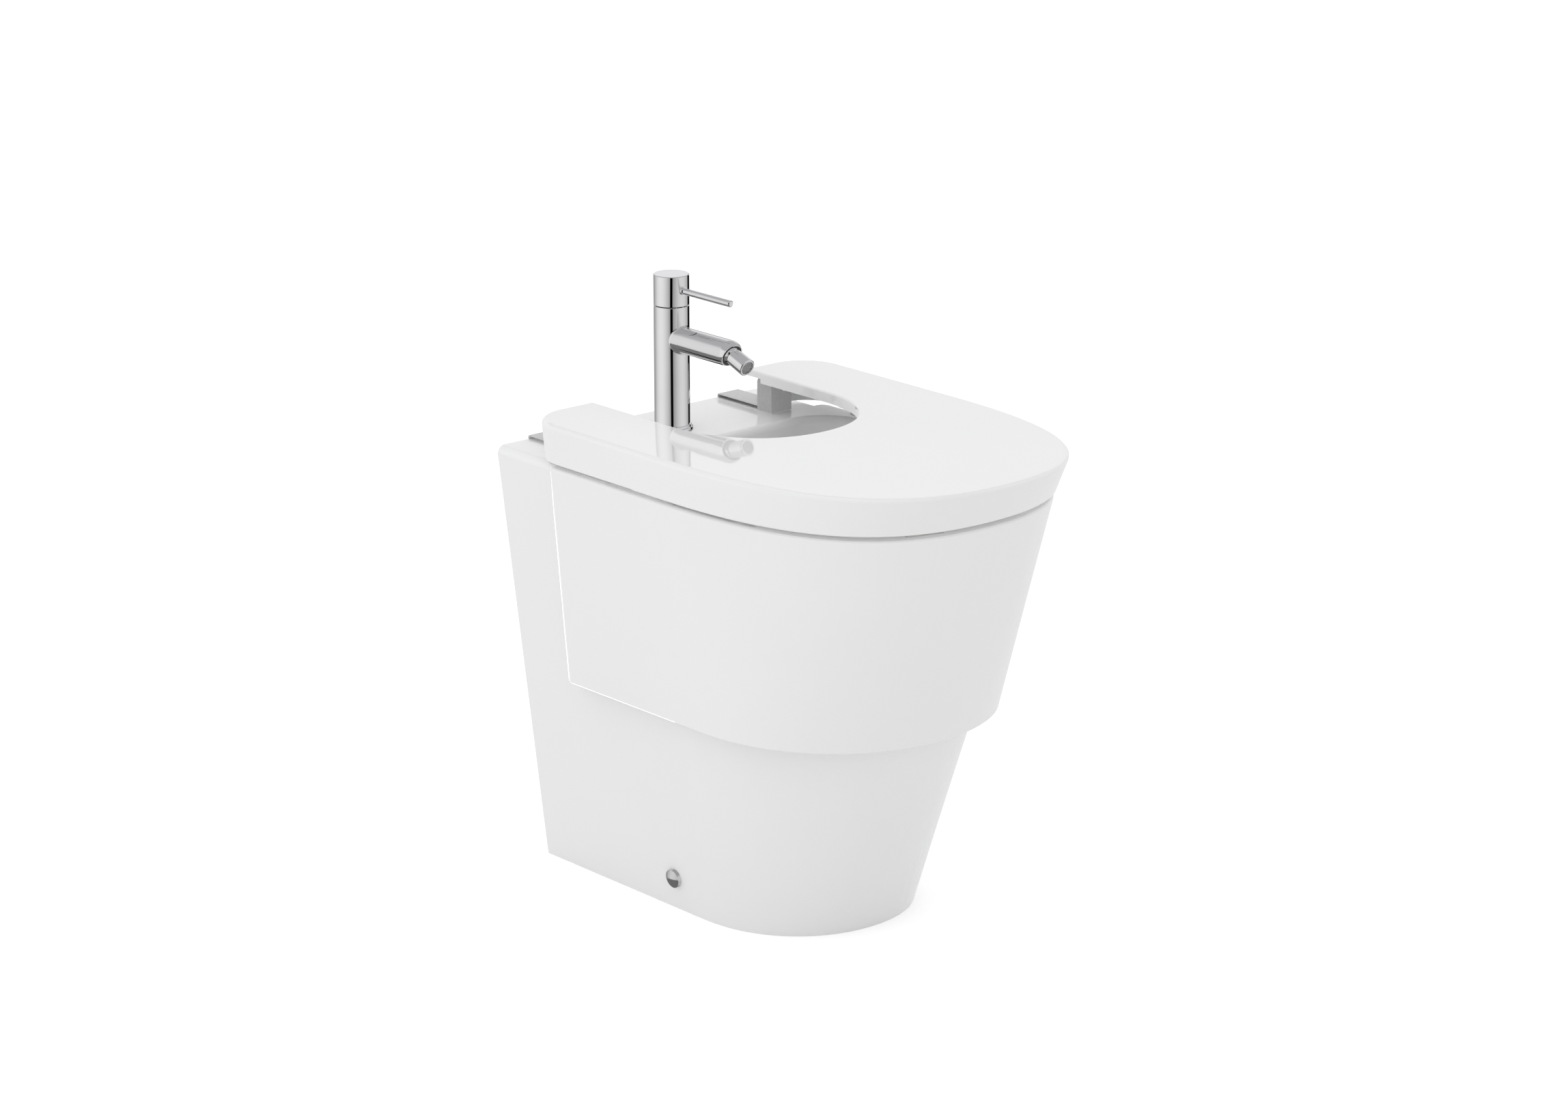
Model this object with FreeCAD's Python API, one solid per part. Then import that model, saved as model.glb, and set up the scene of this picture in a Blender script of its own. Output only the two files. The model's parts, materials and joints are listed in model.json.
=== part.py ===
import FreeCAD, Part
import math
import os

# Back-to-wall floor standing bidet: glazed ceramic body, slotted hinged cover,
# single-lever mixer with a ball-jointed nozzle, click waste and side floor fixings.
# Millimetres. +Z up, +Y towards the wall, the user sits facing the tap from -Y.

V = FreeCAD.Vector
X_AXIS, Y_AXIS, Z_AXIS = V(1, 0, 0), V(0, 1, 0), V(0, 0, 1)
FAR = 1000.0                     # longer than any piece, for cutting tools
OVERCUT = 1.0                    # how far a cutting tool passes a face
TOUCH = 0.01                     # places closer than this are the same
SIDES = (("left", -1), ("right", 1))

# ---- ceramic body -----------------------------------------------------------
REAR_Y = 258.0                   # plane of the wall
DECK_Z = 420.0                   # rim and tap deck
FLOOR_HALF_WIDTH = 110.5         # pedestal footprint
FLOOR_STRAIGHT_Y = 22.0
FLOOR_FRONT_Y = -92.5
PEDESTAL_FULLNESS = 0.585        # Bezier handle share: 0.55 is an ellipse, 1 a square
SLAB_SETBACK = 8.5               # rear slab's side inside the rim's
SLAB_FRONT_Y = 120.0
SLAB_EDGE_RADIUS = 8.0
LIP_Z = 206.0                    # sharp lower lip of the bowl shell
NECK_STRAIGHT_Y = 29.0           # pedestal outline where it meets the lip
BOWL_TOP_HALF_WIDTH = 172.5
BOWL_TOP_STRAIGHT_Y = -2.0
BOWL_TOP_FRONT_Y = -240.5
BOWL_TOP_FULLNESS = 0.70
LIP_OVERHANG = 16.3              # lip proud of the side walls
LIP_NOSE = 11.5                  # lip proud of the pedestal's nose
BOWL_LIP_STRAIGHT_Y = -25.5
BOWL_LIP_FRONT_Y = -184.0
BOWL_LIP_FULLNESS = 0.585
BOWL_REAR_Y = 175.0
BOWL_REAR_RADIUS = 11.0          # rounded rear edge of the proud shell
BOWL_HEEL_RADIUS = 14.0          # lower rear corner seen from the side
RIM_RADIUS = 4.0                 # outer rim edge
LIP_RADIUS = 1.2
SHELL_WALL = 11.0
DECK_THICKNESS = 14.0
RIM_DEPTH = 55.0                 # solid ceramic below the rim
EDGE_BANDS = 3                   # ruled bands in a rounded edge

# ---- basin ------------------------------------------------------------------
RIM_WIDTH = 22.5                 # side of the rim, outside to basin
RIM_NOSE_WIDTH = 24.5
BASIN_REAR_Y = 146.0
BASIN_STRAIGHT_Y = 0.0
BASIN_CORNER = 42.0
BASIN_FULLNESS = 0.66
BASIN_DEPTH = 135.0
BASIN_SQUARENESS = 2.5           # exponent of the basin's side profile
BASIN_FLOOR_SHARE = 0.24         # floor outline as a share of the rim outline
BASIN_SECTIONS = 13              # outlines from the rim to the floor
BASIN_BACK_SECTIONS = 6          # the same on the hidden outside of its wall
BASIN_WALL = 9.0
BASIN_RIM_RADIUS = 7.0
WASTE_Y = -20.0

# ---- cover ------------------------------------------------------------------
COVER_HEIGHT = 42.0              # cover's top above the rim
COVER_GAP = 4.0                  # shadow gap between skirt and rim
COVER_OVERHANG = 3.7             # cover's sides outside the rim
COVER_NOSE = 20.2                # cover's front outside the rim
COVER_TO_WALL = 55.0
COVER_CORNER = 44.0
COVER_EDGE_RADIUS = 5.0
SKIRT_OVERHANG = 2.0             # the same at the lower edge of the skirt
SKIRT_NOSE = 0.5
SKIRT_TO_WALL = 61.0
SKIRT_CORNER = 40.0
SKIRT_EDGE_RADIUS = 1.2
SKIRT_WALL = 8.0
PLATE_THICKNESS = 6.0
SLOT_TO_HINGE = 9.7
SLOT_STRAIGHT_Y = 85.0
SLOT_FRONT_Y = -19.5
SLOT_FULLNESS = 0.60
SLOT_EDGE_RADIUS = 2.0
SLOT_LIP_DEPTH = 10.5            # stiffening lip round the slot
SLOT_LIP_WIDTH = 6.0
BUMPER_LENGTH = 37.0
BUMPER_WIDTH = 6.0
BUMPER_STUD_RADIUS = 2.0
BUMPER_STUD_LENGTH = 6.0
BUMPER_CORNER = 2.9
BUMPER_INSET = 9.0               # side bumpers in from the rim's edge
BUMPER_NOSE_INSET = 20.5
BUMPER_SIDE_Y = 106.0
BUMPER_FRONT_X = 62.0
BUMPER_FRONT_TURN = 17.0         # degrees off the X direction
BOSS_MARGIN = 2.0
RIB_WIDTH = 2.4                  # lattice of ribs under the plate
RIB_HEIGHT = 5.0
RIB_PITCH = 46.0
RIB_TO_BRACKET = 4.0

# ---- hinges -----------------------------------------------------------------
HINGE_INSET = 46.4               # hinge block in from the cover's side
HINGE_WIDTH = 25.6
HINGE_REACH = 14.8               # block in front of the pin
PIN_TO_WALL = 69.5               # cover's turning axis
PIN_DROP = 8.0                   # axis below the cover's plate
PIN_RADIUS = 2.5
PIN_END_GAP = 1.0                # pin's end in the damper
HINGE_NOSE_RADIUS = 6.1          # block's rear top corner, round the pin
DAMPER_RADIUS = 4.2
DAMPER_LENGTH = 21.0
BASE_SHEET = 1.2
BASE_HEIGHT = 5.5
BASE_TO_WALL = 3.5
BASE_INSET = 0.5
BOLT_TO_WALL = 34.0
BOLT_RADIUS = 3.0
BOLT_HEAD_RADIUS = 5.0
BOLT_HEAD_HEIGHT = 2.6
BOLT_LENGTH = 46.0
BOLT_HOLE_RADIUS = 7.0
BOLT_WASHER_RADIUS = 12.0
BOLT_WASHER_THICKNESS = 4.0
BOLT_PLATE_THICKNESS = 1.5
NUT_RADIUS = 7.0
NUT_HEIGHT = 6.0
BRACKET_GAP = 0.8                # between hinge block and cover bracket
BRACKET_EAR = 9.0
BRACKET_EAR_RADIUS = 6.0
BRACKET_PLATE = 3.0
BRACKET_REACH = 38.5             # bracket in front of the pin
BRACKET_LENGTH_X = 26.0
BRACKET_SETBACK = 1.0            # plate's rear edge in front of the ear
BRACKET_SCREW_RADIUS = 1.6
BRACKET_SCREW_HEAD = 3.4
BRACKET_SCREW_GRIP = 4.0
BRACKET_SCREW_EDGE = 5.9         # front screw from the plate's front edge

# ---- mixer ------------------------------------------------------------------
TAP_TO_WALL = 60.5
TAP_RADIUS = 17.0
TAP_HOLE_RADIUS = 16.5
TAP_HEIGHT = 151.0
CAP_HEIGHT = 30.0                # cap's top above the fixed body
SEAM_GAP = 1.0
GASKET_THICKNESS = 0.8
GASKET_RADIUS = 19.0
GASKET_INSET = 2.0
RING_RADIUS = 19.6
RING_STEP_RADIUS = 18.3
RING_HEIGHT = 4.8
RING_STEP_HEIGHT = 2.9
RING_EDGE = 1.0
RING_STEP_EDGE = 0.6
SPOUT_RADIUS = 12.5
SPOUT_HEIGHT = 89.5
SPOUT_BORE = 6.0
SPOUT_ROOT_FILLET = 2.5
SPOUT_STUB = 5.0                 # body's stub in front of the column, where the spout joins
SPIGOT_WALL = 2.0                # spout's spigot in the stub
SPIGOT_LENGTH = 5.0
SPIGOT_END_GAP = 0.4
BALL_REACH = 83.5                # tap axis to ball centre
BALL_RADIUS = 9.5
MOUTH_PITCH = 25.0               # degrees below horizontal
MOUTH_DEPTH = 4.2                # ball centre to mouth face
MOUTH_LIP = 0.9                  # dome's wall round the seat at the mouth
SEAT_RECESS = 0.7                # seat's front inside the mouth face
SEAT_BACK = 1.5
BALL_GAP = 0.3
RUNNING_GAP = 0.05
BALL_POCKET_RADIUS = 10.4
BALL_POCKET_DEPTH = 10.5
BALL_POCKET_FRONT = 3.5          # pocket runs this far in front of the ball centre
BALL_SEAL_BORE = 6.5
NOZZLE_PITCH = 20.0
NOZZLE_LENGTH = 27.7             # ball centre to tip
NOZZLE_START = 7.0
NOZZLE_BASE_RADIUS = 8.2
NOZZLE_TIP_RADIUS = 8.5
NOZZLE_EDGE = 0.6                # bevel at both ends of the sleeve
SLEEVE_CLEARANCE = 0.3           # sleeve's dished end off the ball
NECK_RADIUS = 5.2
NECK_END = 14.0
AERATOR_RADIUS = 6.6
AERATOR_LENGTH = 8.0
AERATOR_RECESS = 1.0
AERATOR_WALL = 1.5
MESH_THICKNESS = 0.6
WATERWAY_RADIUS = 3.2
CAP_ROOF = 8.0
CAP_WALL = 2.0
CAP_RIM_WALL = 0.7
CAP_EDGE_RADIUS = 0.6
BODY_EDGE_CHAMFER = 0.3          # upper edge of the fixed body
SOCKET_RADIUS = 6.5
SOCKET_DROP = 22.0               # socket's foot below the cap's top
TILT_DROP = 16.0                 # tilt axis below the fixed body's top
STEM_RADIUS = 3.0
STEM_DROP = 18.0
LEVER_DROP = 14.0
LEVER_RADIUS = 3.2
LEVER_REACH = 86.5               # tap axis to lever tip
LEVER_SOCKET = 3.0               # how far the lever passes the tap axis
LEVER_TIP_ROUND = 0.9
COLLAR_RADIUS = 4.0
COLLAR_LENGTH = 2.6
COLLAR_SINK = 0.35               # hollow foot of the collar on the round cap
GRUB_RADIUS = 2.0
GRUB_LENGTH = 5.0
GRUB_SOCKET = 2.0
GRUB_DROP = 19.5
GRUB_ACCESS_RADIUS = 2.3
CARTRIDGE_RADIUS = 13.0
CARTRIDGE_LENGTH = 36.0
CARTRIDGE_NUT_RADIUS = 14.8
CARTRIDGE_NUT_HEIGHT = 5.6
CARTRIDGE_NUT_BORE = 9.8
CARTRIDGE_TOP_BORE = 8.5
CARRIER_RADIUS = 8.0
CARRIER_HEIGHT = 9.0
CARRIER_SLOT_TILT = 24.0         # degrees each way that the stem's slot allows
TRUNNION_RADIUS = 2.2            # stem's cross pin in the carrier
TRUNNION_HALF_LENGTH = 7.5
STEM_FOOT = 3.6                  # stem's foot below the tilt axis
PORT_X = 6.6
PORT_RADIUS = 4.3
PORT_DEPTH = 14.0
INLET_RADIUS = 3.8
STUD_OFFSET_Y = 9.5
STUD_RADIUS = 3.0
STUD_GRIP = 12.0
STUD_LENGTH = 72.0
CLAMP_RADIUS = 22.0
CLAMP_RUBBER = 3.0
CLAMP_STEEL = 2.0
CLAMP_MOUTH = 13.5               # open half-width of the horseshoe washers
CLAMP_STUD_WALL = 5.0            # washer's metal in front of the stud

# ---- waste ------------------------------------------------------------------
WASTE_HOLE_RADIUS = 23.0
FLANGE_RADIUS = 31.5
FLANGE_THICKNESS = 2.5
FLANGE_SEAL_THICKNESS = 1.0
FLANGE_CLEARANCE = 0.5
WASTE_TUBE_RADIUS = 22.0
WASTE_TUBE_BORE = 19.5
WASTE_TUBE_LENGTH = 49.0
FLANGE_EDGE = 0.8
WASTE_SEAL_THICKNESS = 4.0
WASTE_NUT_RADIUS = 31.0
WASTE_NUT_HEIGHT = 10.0
WASTE_NUT_LUGS = 6
WASTE_LUG_RADIUS = 3.5
SPIDER_RISE = 20.0               # spider above the tube's foot
SPIDER_HEIGHT = 7.0
SPIDER_ARM = 3.0
HUB_RADIUS = 6.0
PLUG_STEM_RADIUS = 3.0
PLUG_RADIUS = 26.0
PLUG_THICKNESS = 3.0
PLUG_DOME = 1.6
PLUG_SPIGOT_END = 1.0            # spigot past its seal
PLUG_SEAL_BORE = 14.0
PLUG_SEAL_RADIUS = 22.5
PLUG_SEAL_THICKNESS = 2.0
PLUG_SEAT_GAP = 0.3
PLUG_STEM_TAIL = 12.0
TAIL_RADIUS = 16.0
TAIL_WALL = 1.5
TAIL_STEP = 1.0                  # spigot's setback, held by the waste body and its nut
TAIL_FREE_LENGTH = 37.0
TAIL_INSERT = 8.0
TAIL_NUT_RADIUS = 25.5
TAIL_NUT_HEIGHT = 14.0

# ---- floor fixing -----------------------------------------------------------
FIXING_Y = 61.0
FIXING_Z = 32.0
SIDE_SCREW_RADIUS = 3.0
SIDE_SCREW_GRIP = 9.0            # screw past the inside of the wall
SIDE_HOLE_RADIUS = 5.0
SIDE_SCREW_HEAD_RADIUS = 5.0
SIDE_SCREW_HEAD_HEIGHT = 3.0
SIDE_WASHER_RADIUS = 7.6
SIDE_WASHER_THICKNESS = 1.4
SIDE_CAP_RADIUS = 9.0
SIDE_CAP_HEIGHT = 6.5
SIDE_CAP_WALL = 1.0
SIDE_CAP_CYLINDER = 3.6
ANGLE_SHEET = 6.0
ANGLE_HEIGHT = 52.0
ANGLE_DEPTH = 32.0
ANGLE_FOOT_X = 66.0
ANGLE_GAP = 0.5
ANCHOR_X = 80.0
ANCHOR_HOLE_RADIUS = 4.5

# ---- derived places ---------------------------------------------------------
SLAB_HALF_WIDTH = BOWL_TOP_HALF_WIDTH - SLAB_SETBACK
WALL_LEAN = (SLAB_HALF_WIDTH - FLOOR_HALF_WIDTH) / DECK_Z
LEAN_ANGLE = math.degrees(math.atan(WALL_LEAN))
BOWL_LIP_HALF_WIDTH = FLOOR_HALF_WIDTH + WALL_LEAN * LIP_Z + LIP_OVERHANG
NECK_FRONT_Y = BOWL_LIP_FRONT_Y + LIP_NOSE
BASIN_HALF_WIDTH = BOWL_TOP_HALF_WIDTH - RIM_WIDTH
BASIN_FRONT_Y = BOWL_TOP_FRONT_Y + RIM_NOSE_WIDTH
COVER_TOP_Z = DECK_Z + COVER_HEIGHT
COVER_HALF_WIDTH = BOWL_TOP_HALF_WIDTH + COVER_OVERHANG
COVER_REAR_Y = REAR_Y - COVER_TO_WALL
COVER_FRONT_Y = BOWL_TOP_FRONT_Y - COVER_NOSE
SKIRT_HALF_WIDTH = BOWL_TOP_HALF_WIDTH + SKIRT_OVERHANG
SKIRT_REAR_Y = REAR_Y - SKIRT_TO_WALL
SKIRT_FRONT_Y = BOWL_TOP_FRONT_Y - SKIRT_NOSE
BUMPER_SIDE_X = BOWL_TOP_HALF_WIDTH - BUMPER_INSET
BUMPER_FRONT_Y = BOWL_TOP_FRONT_Y + BUMPER_NOSE_INSET
SKIRT_Z = DECK_Z + COVER_GAP
PLATE_Z = COVER_TOP_Z - PLATE_THICKNESS
SLOT_LIP_Z = COVER_TOP_Z - SLOT_LIP_DEPTH
PIN_Y = REAR_Y - PIN_TO_WALL
PIN_Z = PLATE_Z - PIN_DROP
HINGE_OUTER_X = COVER_HALF_WIDTH - HINGE_INSET
HINGE_INNER_X = HINGE_OUTER_X - HINGE_WIDTH
HINGE_X = HINGE_OUTER_X - HINGE_WIDTH / 2
HINGE_FRONT_Y = PIN_Y - HINGE_REACH
HINGE_REAR_Y = PIN_Y + HINGE_NOSE_RADIUS
SLOT_HALF_WIDTH = HINGE_INNER_X - SLOT_TO_HINGE
BASE_REAR_Y = REAR_Y - BASE_TO_WALL
BOLT_Y = REAR_Y - BOLT_TO_WALL
BRACKET_FRONT_Y = PIN_Y - BRACKET_REACH
BASE_LEG_Z = DECK_Z + BASE_SHEET
BRACKET_X = HINGE_OUTER_X + BRACKET_GAP
DECK_UNDER_Z = DECK_Z - DECK_THICKNESS
BASIN_FLOOR_Z = DECK_Z - BASIN_DEPTH
WASTE_SEAT_Z = BASIN_FLOOR_Z - FLANGE_THICKNESS - FLANGE_SEAL_THICKNESS
BASIN_UNDER_Z = BASIN_FLOOR_Z - FLANGE_THICKNESS - BASIN_WALL
WASTE_TUBE_BOTTOM_Z = BASIN_FLOOR_Z - WASTE_TUBE_LENGTH
SPIDER_Z = WASTE_TUBE_BOTTOM_Z + SPIDER_RISE
TAIL_SPIGOT_RADIUS = TAIL_RADIUS - TAIL_STEP
TAP_Y = REAR_Y - TAP_TO_WALL
TAP_TOP_Z = DECK_Z + TAP_HEIGHT
SEAM_Z = TAP_TOP_Z - CAP_HEIGHT
SPOUT_Z = DECK_Z + SPOUT_HEIGHT
TILT_Z = SEAM_Z - TILT_DROP
SOCKET_FOOT_Z = TAP_TOP_Z - SOCKET_DROP
STEM_TOP_Z = TAP_TOP_Z - STEM_DROP
LEVER_Z = TAP_TOP_Z - LEVER_DROP
GRUB_Z = TAP_TOP_Z - GRUB_DROP
SPOUT_JOINT = V(0, TAP_Y - TAP_RADIUS - SPOUT_STUB, SPOUT_Z)
BALL = V(0, TAP_Y - BALL_REACH, SPOUT_Z)
SEAT_RADIUS = math.sqrt(SPOUT_RADIUS ** 2 - MOUTH_DEPTH ** 2) - MOUTH_LIP
MIXER_FOOT_Z = DECK_Z + GASKET_THICKNESS
SPIGOT_RADIUS = SPOUT_BORE + SPIGOT_WALL
CAP_FOOT_Z = SEAM_Z + SEAM_GAP
CARTRIDGE_TOP_Z = SEAM_Z - CARTRIDGE_NUT_HEIGHT
CARTRIDGE_FOOT_Z = CARTRIDGE_TOP_Z - CARTRIDGE_LENGTH


# ---- small shape helpers ----------------------------------------------------
def box(x0, x1, y0, y1, z0, z1):
    return Part.makeBox(x1 - x0, y1 - y0, z1 - z0, V(x0, y0, z0))


def rod(radius, start, end):
    """Cylinder from one centre point to another."""
    along = end - start
    return Part.makeCylinder(radius, along.Length, start, along)


def upright(radius, x, y, z0, z1):
    return rod(radius, V(x, y, z0), V(x, y, z1))


def tube(outer, inner, start, end):
    return rod(outer, start, end).cut(rod(inner, start, end))


def upright_tube(outer, inner, x, y, z0, z1):
    return tube(outer, inner, V(x, y, z0), V(x, y, z1))


def hexagon(radius, bore, x, y, z0, z1):
    """Hexagonal nut with a round bore."""
    corners = [V(x + radius * math.cos(math.radians(60 * i)),
                 y + radius * math.sin(math.radians(60 * i)), z0) for i in range(7)]
    prism = Part.Face(Part.makePolygon(corners)).extrude(V(0, 0, z1 - z0))
    return prism.cut(upright(bore, x, y, z0, z1))


def mirrored(shape):
    return shape.mirror(V(0, 0, 0), X_AXIS)


def pair(shape):
    """The shape and its mirror image as one group of solids."""
    return Part.makeCompound([mirrored(shape), shape])


def rounded(shape, radius, chosen):
    """Fillet the edges for which chosen(edge) is true."""
    edges = [edge for edge in shape.Edges if chosen(edge)]
    return shape.makeFillet(radius, edges)


def chamfered(shape, width, chosen):
    """Bevel the edges for which chosen(edge) is true."""
    edges = [edge for edge in shape.Edges if chosen(edge)]
    return shape.makeChamfer(width, edges)


def at_height(z):
    def chosen(edge):
        bounds = edge.BoundBox
        return abs(bounds.ZMin - z) < TOUCH and abs(bounds.ZMax - z) < TOUCH
    return chosen


def is_upright(edge):
    return abs(edge.tangentAt(edge.FirstParameter).z) > 0.9


def tilted(shape, about, pitch):
    """Turn a shape that points along -Y so that it points pitch degrees below."""
    turned = shape.copy()
    turned.rotate(about, X_AXIS, pitch)
    return turned


# ---- outlines ---------------------------------------------------------------
def quarter(a, b, c, d):
    curve = Part.BezierCurve()
    curve.setPoles([a, b, c, d])
    return curve.toShape()


def front_curves(half_width, straight_y, front_y, fullness, z):
    """Left and right front quarters, from side line to nose to side line."""
    nose = V(0, front_y, z)
    shoulder_y = straight_y + (front_y - straight_y) * fullness
    flank_x = half_width * fullness
    left = quarter(V(-half_width, straight_y, z), V(-half_width, shoulder_y, z),
                   V(-flank_x, front_y, z), nose)
    right = quarter(nose, V(flank_x, front_y, z),
                    V(half_width, shoulder_y, z), V(half_width, straight_y, z))
    return [left, right]


def d_outline(z, half_width, rear_y, straight_y, front_y, fullness, corner=0.0):
    """Closed outline: straight rear, optional rear corner arcs, sides, curved front."""
    curves = front_curves(half_width, straight_y, front_y, fullness, z)
    side_end_y = rear_y - corner
    right_side = Part.makeLine(V(half_width, straight_y, z), V(half_width, side_end_y, z))
    left_side = Part.makeLine(V(-half_width, side_end_y, z), V(-half_width, straight_y, z))
    if corner:
        reach = half_width - corner
        bulge = corner * math.sqrt(0.5)
        right_arc = Part.Arc(V(half_width, side_end_y, z),
                             V(reach + bulge, side_end_y + bulge, z),
                             V(reach, rear_y, z)).toShape()
        left_arc = Part.Arc(V(-reach, rear_y, z),
                            V(-reach - bulge, side_end_y + bulge, z),
                            V(-half_width, side_end_y, z)).toShape()
        rear = Part.makeLine(V(reach, rear_y, z), V(-reach, rear_y, z))
        return Part.Wire(curves + [right_side, right_arc, rear, left_arc, left_side])
    rear = Part.makeLine(V(half_width, rear_y, z), V(-half_width, rear_y, z))
    return Part.Wire(curves + [right_side, rear, left_side])


def loft(wires, ruled=True):
    return Part.makeLoft(wires, True, ruled)


def edge_round(radius, bands):
    """Steps (inset, rise) of a quarter round, from the wall it ends to its top."""
    turns = [math.pi / 2 * i / bands for i in range(bands + 1)]
    return [(radius * (1 - math.cos(turn)), radius * math.sin(turn)) for turn in turns]


def rounded_prism(outline, foot_z, foot_radius, top_z, top_radius):
    """Loft of outline(z, inset) with its lower edge bevelled and its upper edge rounded."""
    foot = [outline(foot_z, foot_radius), outline(foot_z + foot_radius, 0)]
    knee_z = top_z - top_radius
    top = [outline(knee_z + rise, inset) for inset, rise in edge_round(top_radius, EDGE_BANDS)]
    return loft(foot + top)


def side_half_width(z):
    """Half-width of the leaning side walls at height z."""
    return FLOOR_HALF_WIDTH + WALL_LEAN * z


# ---- ceramic body -----------------------------------------------------------
def pedestal(inset, foot_z, rear_y):
    """Tapered lower body, or its hollow when inset is the wall thickness."""
    rise = (NECK_FRONT_Y - FLOOR_FRONT_Y) / LIP_Z
    top_z = LIP_Z + SHELL_WALL + OVERCUT if inset else LIP_Z + RIM_RADIUS
    wires = []
    for z in (foot_z, top_z):
        share = z / LIP_Z
        straight_y = FLOOR_STRAIGHT_Y + (NECK_STRAIGHT_Y - FLOOR_STRAIGHT_Y) * share
        wires.append(d_outline(z, side_half_width(z) - inset, rear_y, straight_y,
                               FLOOR_FRONT_Y + rise * z + inset, PEDESTAL_FULLNESS))
    return loft(wires)


def slab_profile(y, inset, foot_z, top_z, radius):
    """Leaning-sided section of the rear slab with rounded upper corners."""
    x_foot = side_half_width(foot_z) - inset
    x_knee = side_half_width(top_z - radius) - inset
    arc_x = x_knee - radius * (1 - math.sqrt(0.5))
    arc_z = top_z - radius * (1 - math.sqrt(0.5))
    right_arc = Part.Arc(V(x_knee, y, top_z - radius), V(arc_x, y, arc_z),
                         V(x_knee - radius, y, top_z)).toShape()
    left_arc = Part.Arc(V(radius - x_knee, y, top_z), V(-arc_x, y, arc_z),
                        V(-x_knee, y, top_z - radius)).toShape()
    edges = [Part.makeLine(V(-x_foot, y, foot_z), V(x_foot, y, foot_z)),
             Part.makeLine(V(x_foot, y, foot_z), V(x_knee, y, top_z - radius)),
             right_arc,
             Part.makeLine(V(x_knee - radius, y, top_z), V(radius - x_knee, y, top_z)),
             left_arc,
             Part.makeLine(V(-x_knee, y, top_z - radius), V(-x_foot, y, foot_z))]
    return Part.Face(Part.Wire(edges))


def slab():
    profile = slab_profile(SLAB_FRONT_Y, 0, 0, DECK_Z, SLAB_EDGE_RADIUS)
    return profile.extrude(V(0, REAR_Y - SLAB_FRONT_Y, 0))


def slab_hollow():
    front_y = BASIN_REAR_Y + BASIN_WALL + OVERCUT
    profile = slab_profile(front_y, SHELL_WALL, -OVERCUT, DECK_UNDER_Z, SLAB_EDGE_RADIUS)
    return profile.extrude(V(0, REAR_Y + OVERCUT - front_y, 0))


def bowl_outline(z, inset):
    """Outline of the bowl shell between its lip and its rim."""
    share = (z - LIP_Z) / (DECK_Z - LIP_Z)

    def between(low, high):
        return low + (high - low) * share
    corner = max(BOWL_REAR_RADIUS - inset, 0)
    return d_outline(z, between(BOWL_LIP_HALF_WIDTH, BOWL_TOP_HALF_WIDTH) - inset,
                     BOWL_REAR_Y - inset, between(BOWL_LIP_STRAIGHT_Y, BOWL_TOP_STRAIGHT_Y),
                     between(BOWL_LIP_FRONT_Y, BOWL_TOP_FRONT_Y) + inset,
                     between(BOWL_LIP_FULLNESS, BOWL_TOP_FULLNESS), corner)


def heel_profile():
    """Side view of the bowl shell, with its rounded lower rear corner."""
    x, radius = -FAR / 2, BOWL_HEEL_RADIUS
    front = V(x, -FAR / 2, LIP_Z)
    knee = V(x, BOWL_REAR_Y - radius, LIP_Z)
    middle = V(x, BOWL_REAR_Y - radius * (1 - math.sqrt(0.5)), LIP_Z + radius * (1 - math.sqrt(0.5)))
    rise = V(x, BOWL_REAR_Y, LIP_Z + radius)
    edges = [Part.makeLine(front, knee), Part.Arc(knee, middle, rise).toShape(),
             Part.makeLine(rise, V(x, BOWL_REAR_Y, DECK_Z)),
             Part.makeLine(V(x, BOWL_REAR_Y, DECK_Z), V(x, -FAR / 2, DECK_Z)),
             Part.makeLine(V(x, -FAR / 2, DECK_Z), front)]
    return Part.Face(Part.Wire(edges)).extrude(V(FAR, 0, 0))


def bowl():
    return rounded_prism(bowl_outline, LIP_Z, LIP_RADIUS, DECK_Z, RIM_RADIUS).common(heel_profile())


def bowl_hollow():
    low, high = LIP_Z + SHELL_WALL, DECK_Z - RIM_DEPTH
    return loft([bowl_outline(low, SHELL_WALL), bowl_outline(high, SHELL_WALL)])


def basin_outline(z, share, margin):
    """Rim outline of the basin shrunk towards the waste by share."""
    def towards_waste(y):
        return WASTE_Y + (y - WASTE_Y) * share
    return d_outline(z, (BASIN_HALF_WIDTH + margin) * share,
                     towards_waste(BASIN_REAR_Y + margin), towards_waste(BASIN_STRAIGHT_Y),
                     towards_waste(BASIN_FRONT_Y - margin), BASIN_FULLNESS,
                     (BASIN_CORNER + margin) * share)


def basin_side(margin, floor_z, sections):
    """Outlines from the rim to the floor along a superelliptic side profile."""
    wires = []
    floor_angle = math.acos(BASIN_FLOOR_SHARE ** (BASIN_SQUARENESS / 2))
    for i in range(sections):
        angle = floor_angle * i / (sections - 1)
        share = math.cos(angle) ** (2 / BASIN_SQUARENESS)
        drop = (math.sin(angle) / math.sin(floor_angle)) ** (2 / BASIN_SQUARENESS)
        wires.append(basin_outline(DECK_Z - (DECK_Z - floor_z) * drop, share, margin))
    return wires


def basin_cavity():
    """Inside of the basin, flared to a rounded rim."""
    side = basin_side(0, BASIN_FLOOR_Z, BASIN_SECTIONS)
    below_rim = [wire for wire in side if wire.BoundBox.ZMax < DECK_Z - BASIN_RIM_RADIUS]
    rim = [basin_outline(DECK_Z - BASIN_RIM_RADIUS + rise, 1, inset)
           for inset, rise in edge_round(BASIN_RIM_RADIUS, EDGE_BANDS)]
    return loft(rim[::-1] + below_rim)


def basin_back():
    return loft(basin_side(BASIN_WALL, BASIN_UNDER_Z, BASIN_BACK_SECTIONS))


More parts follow.
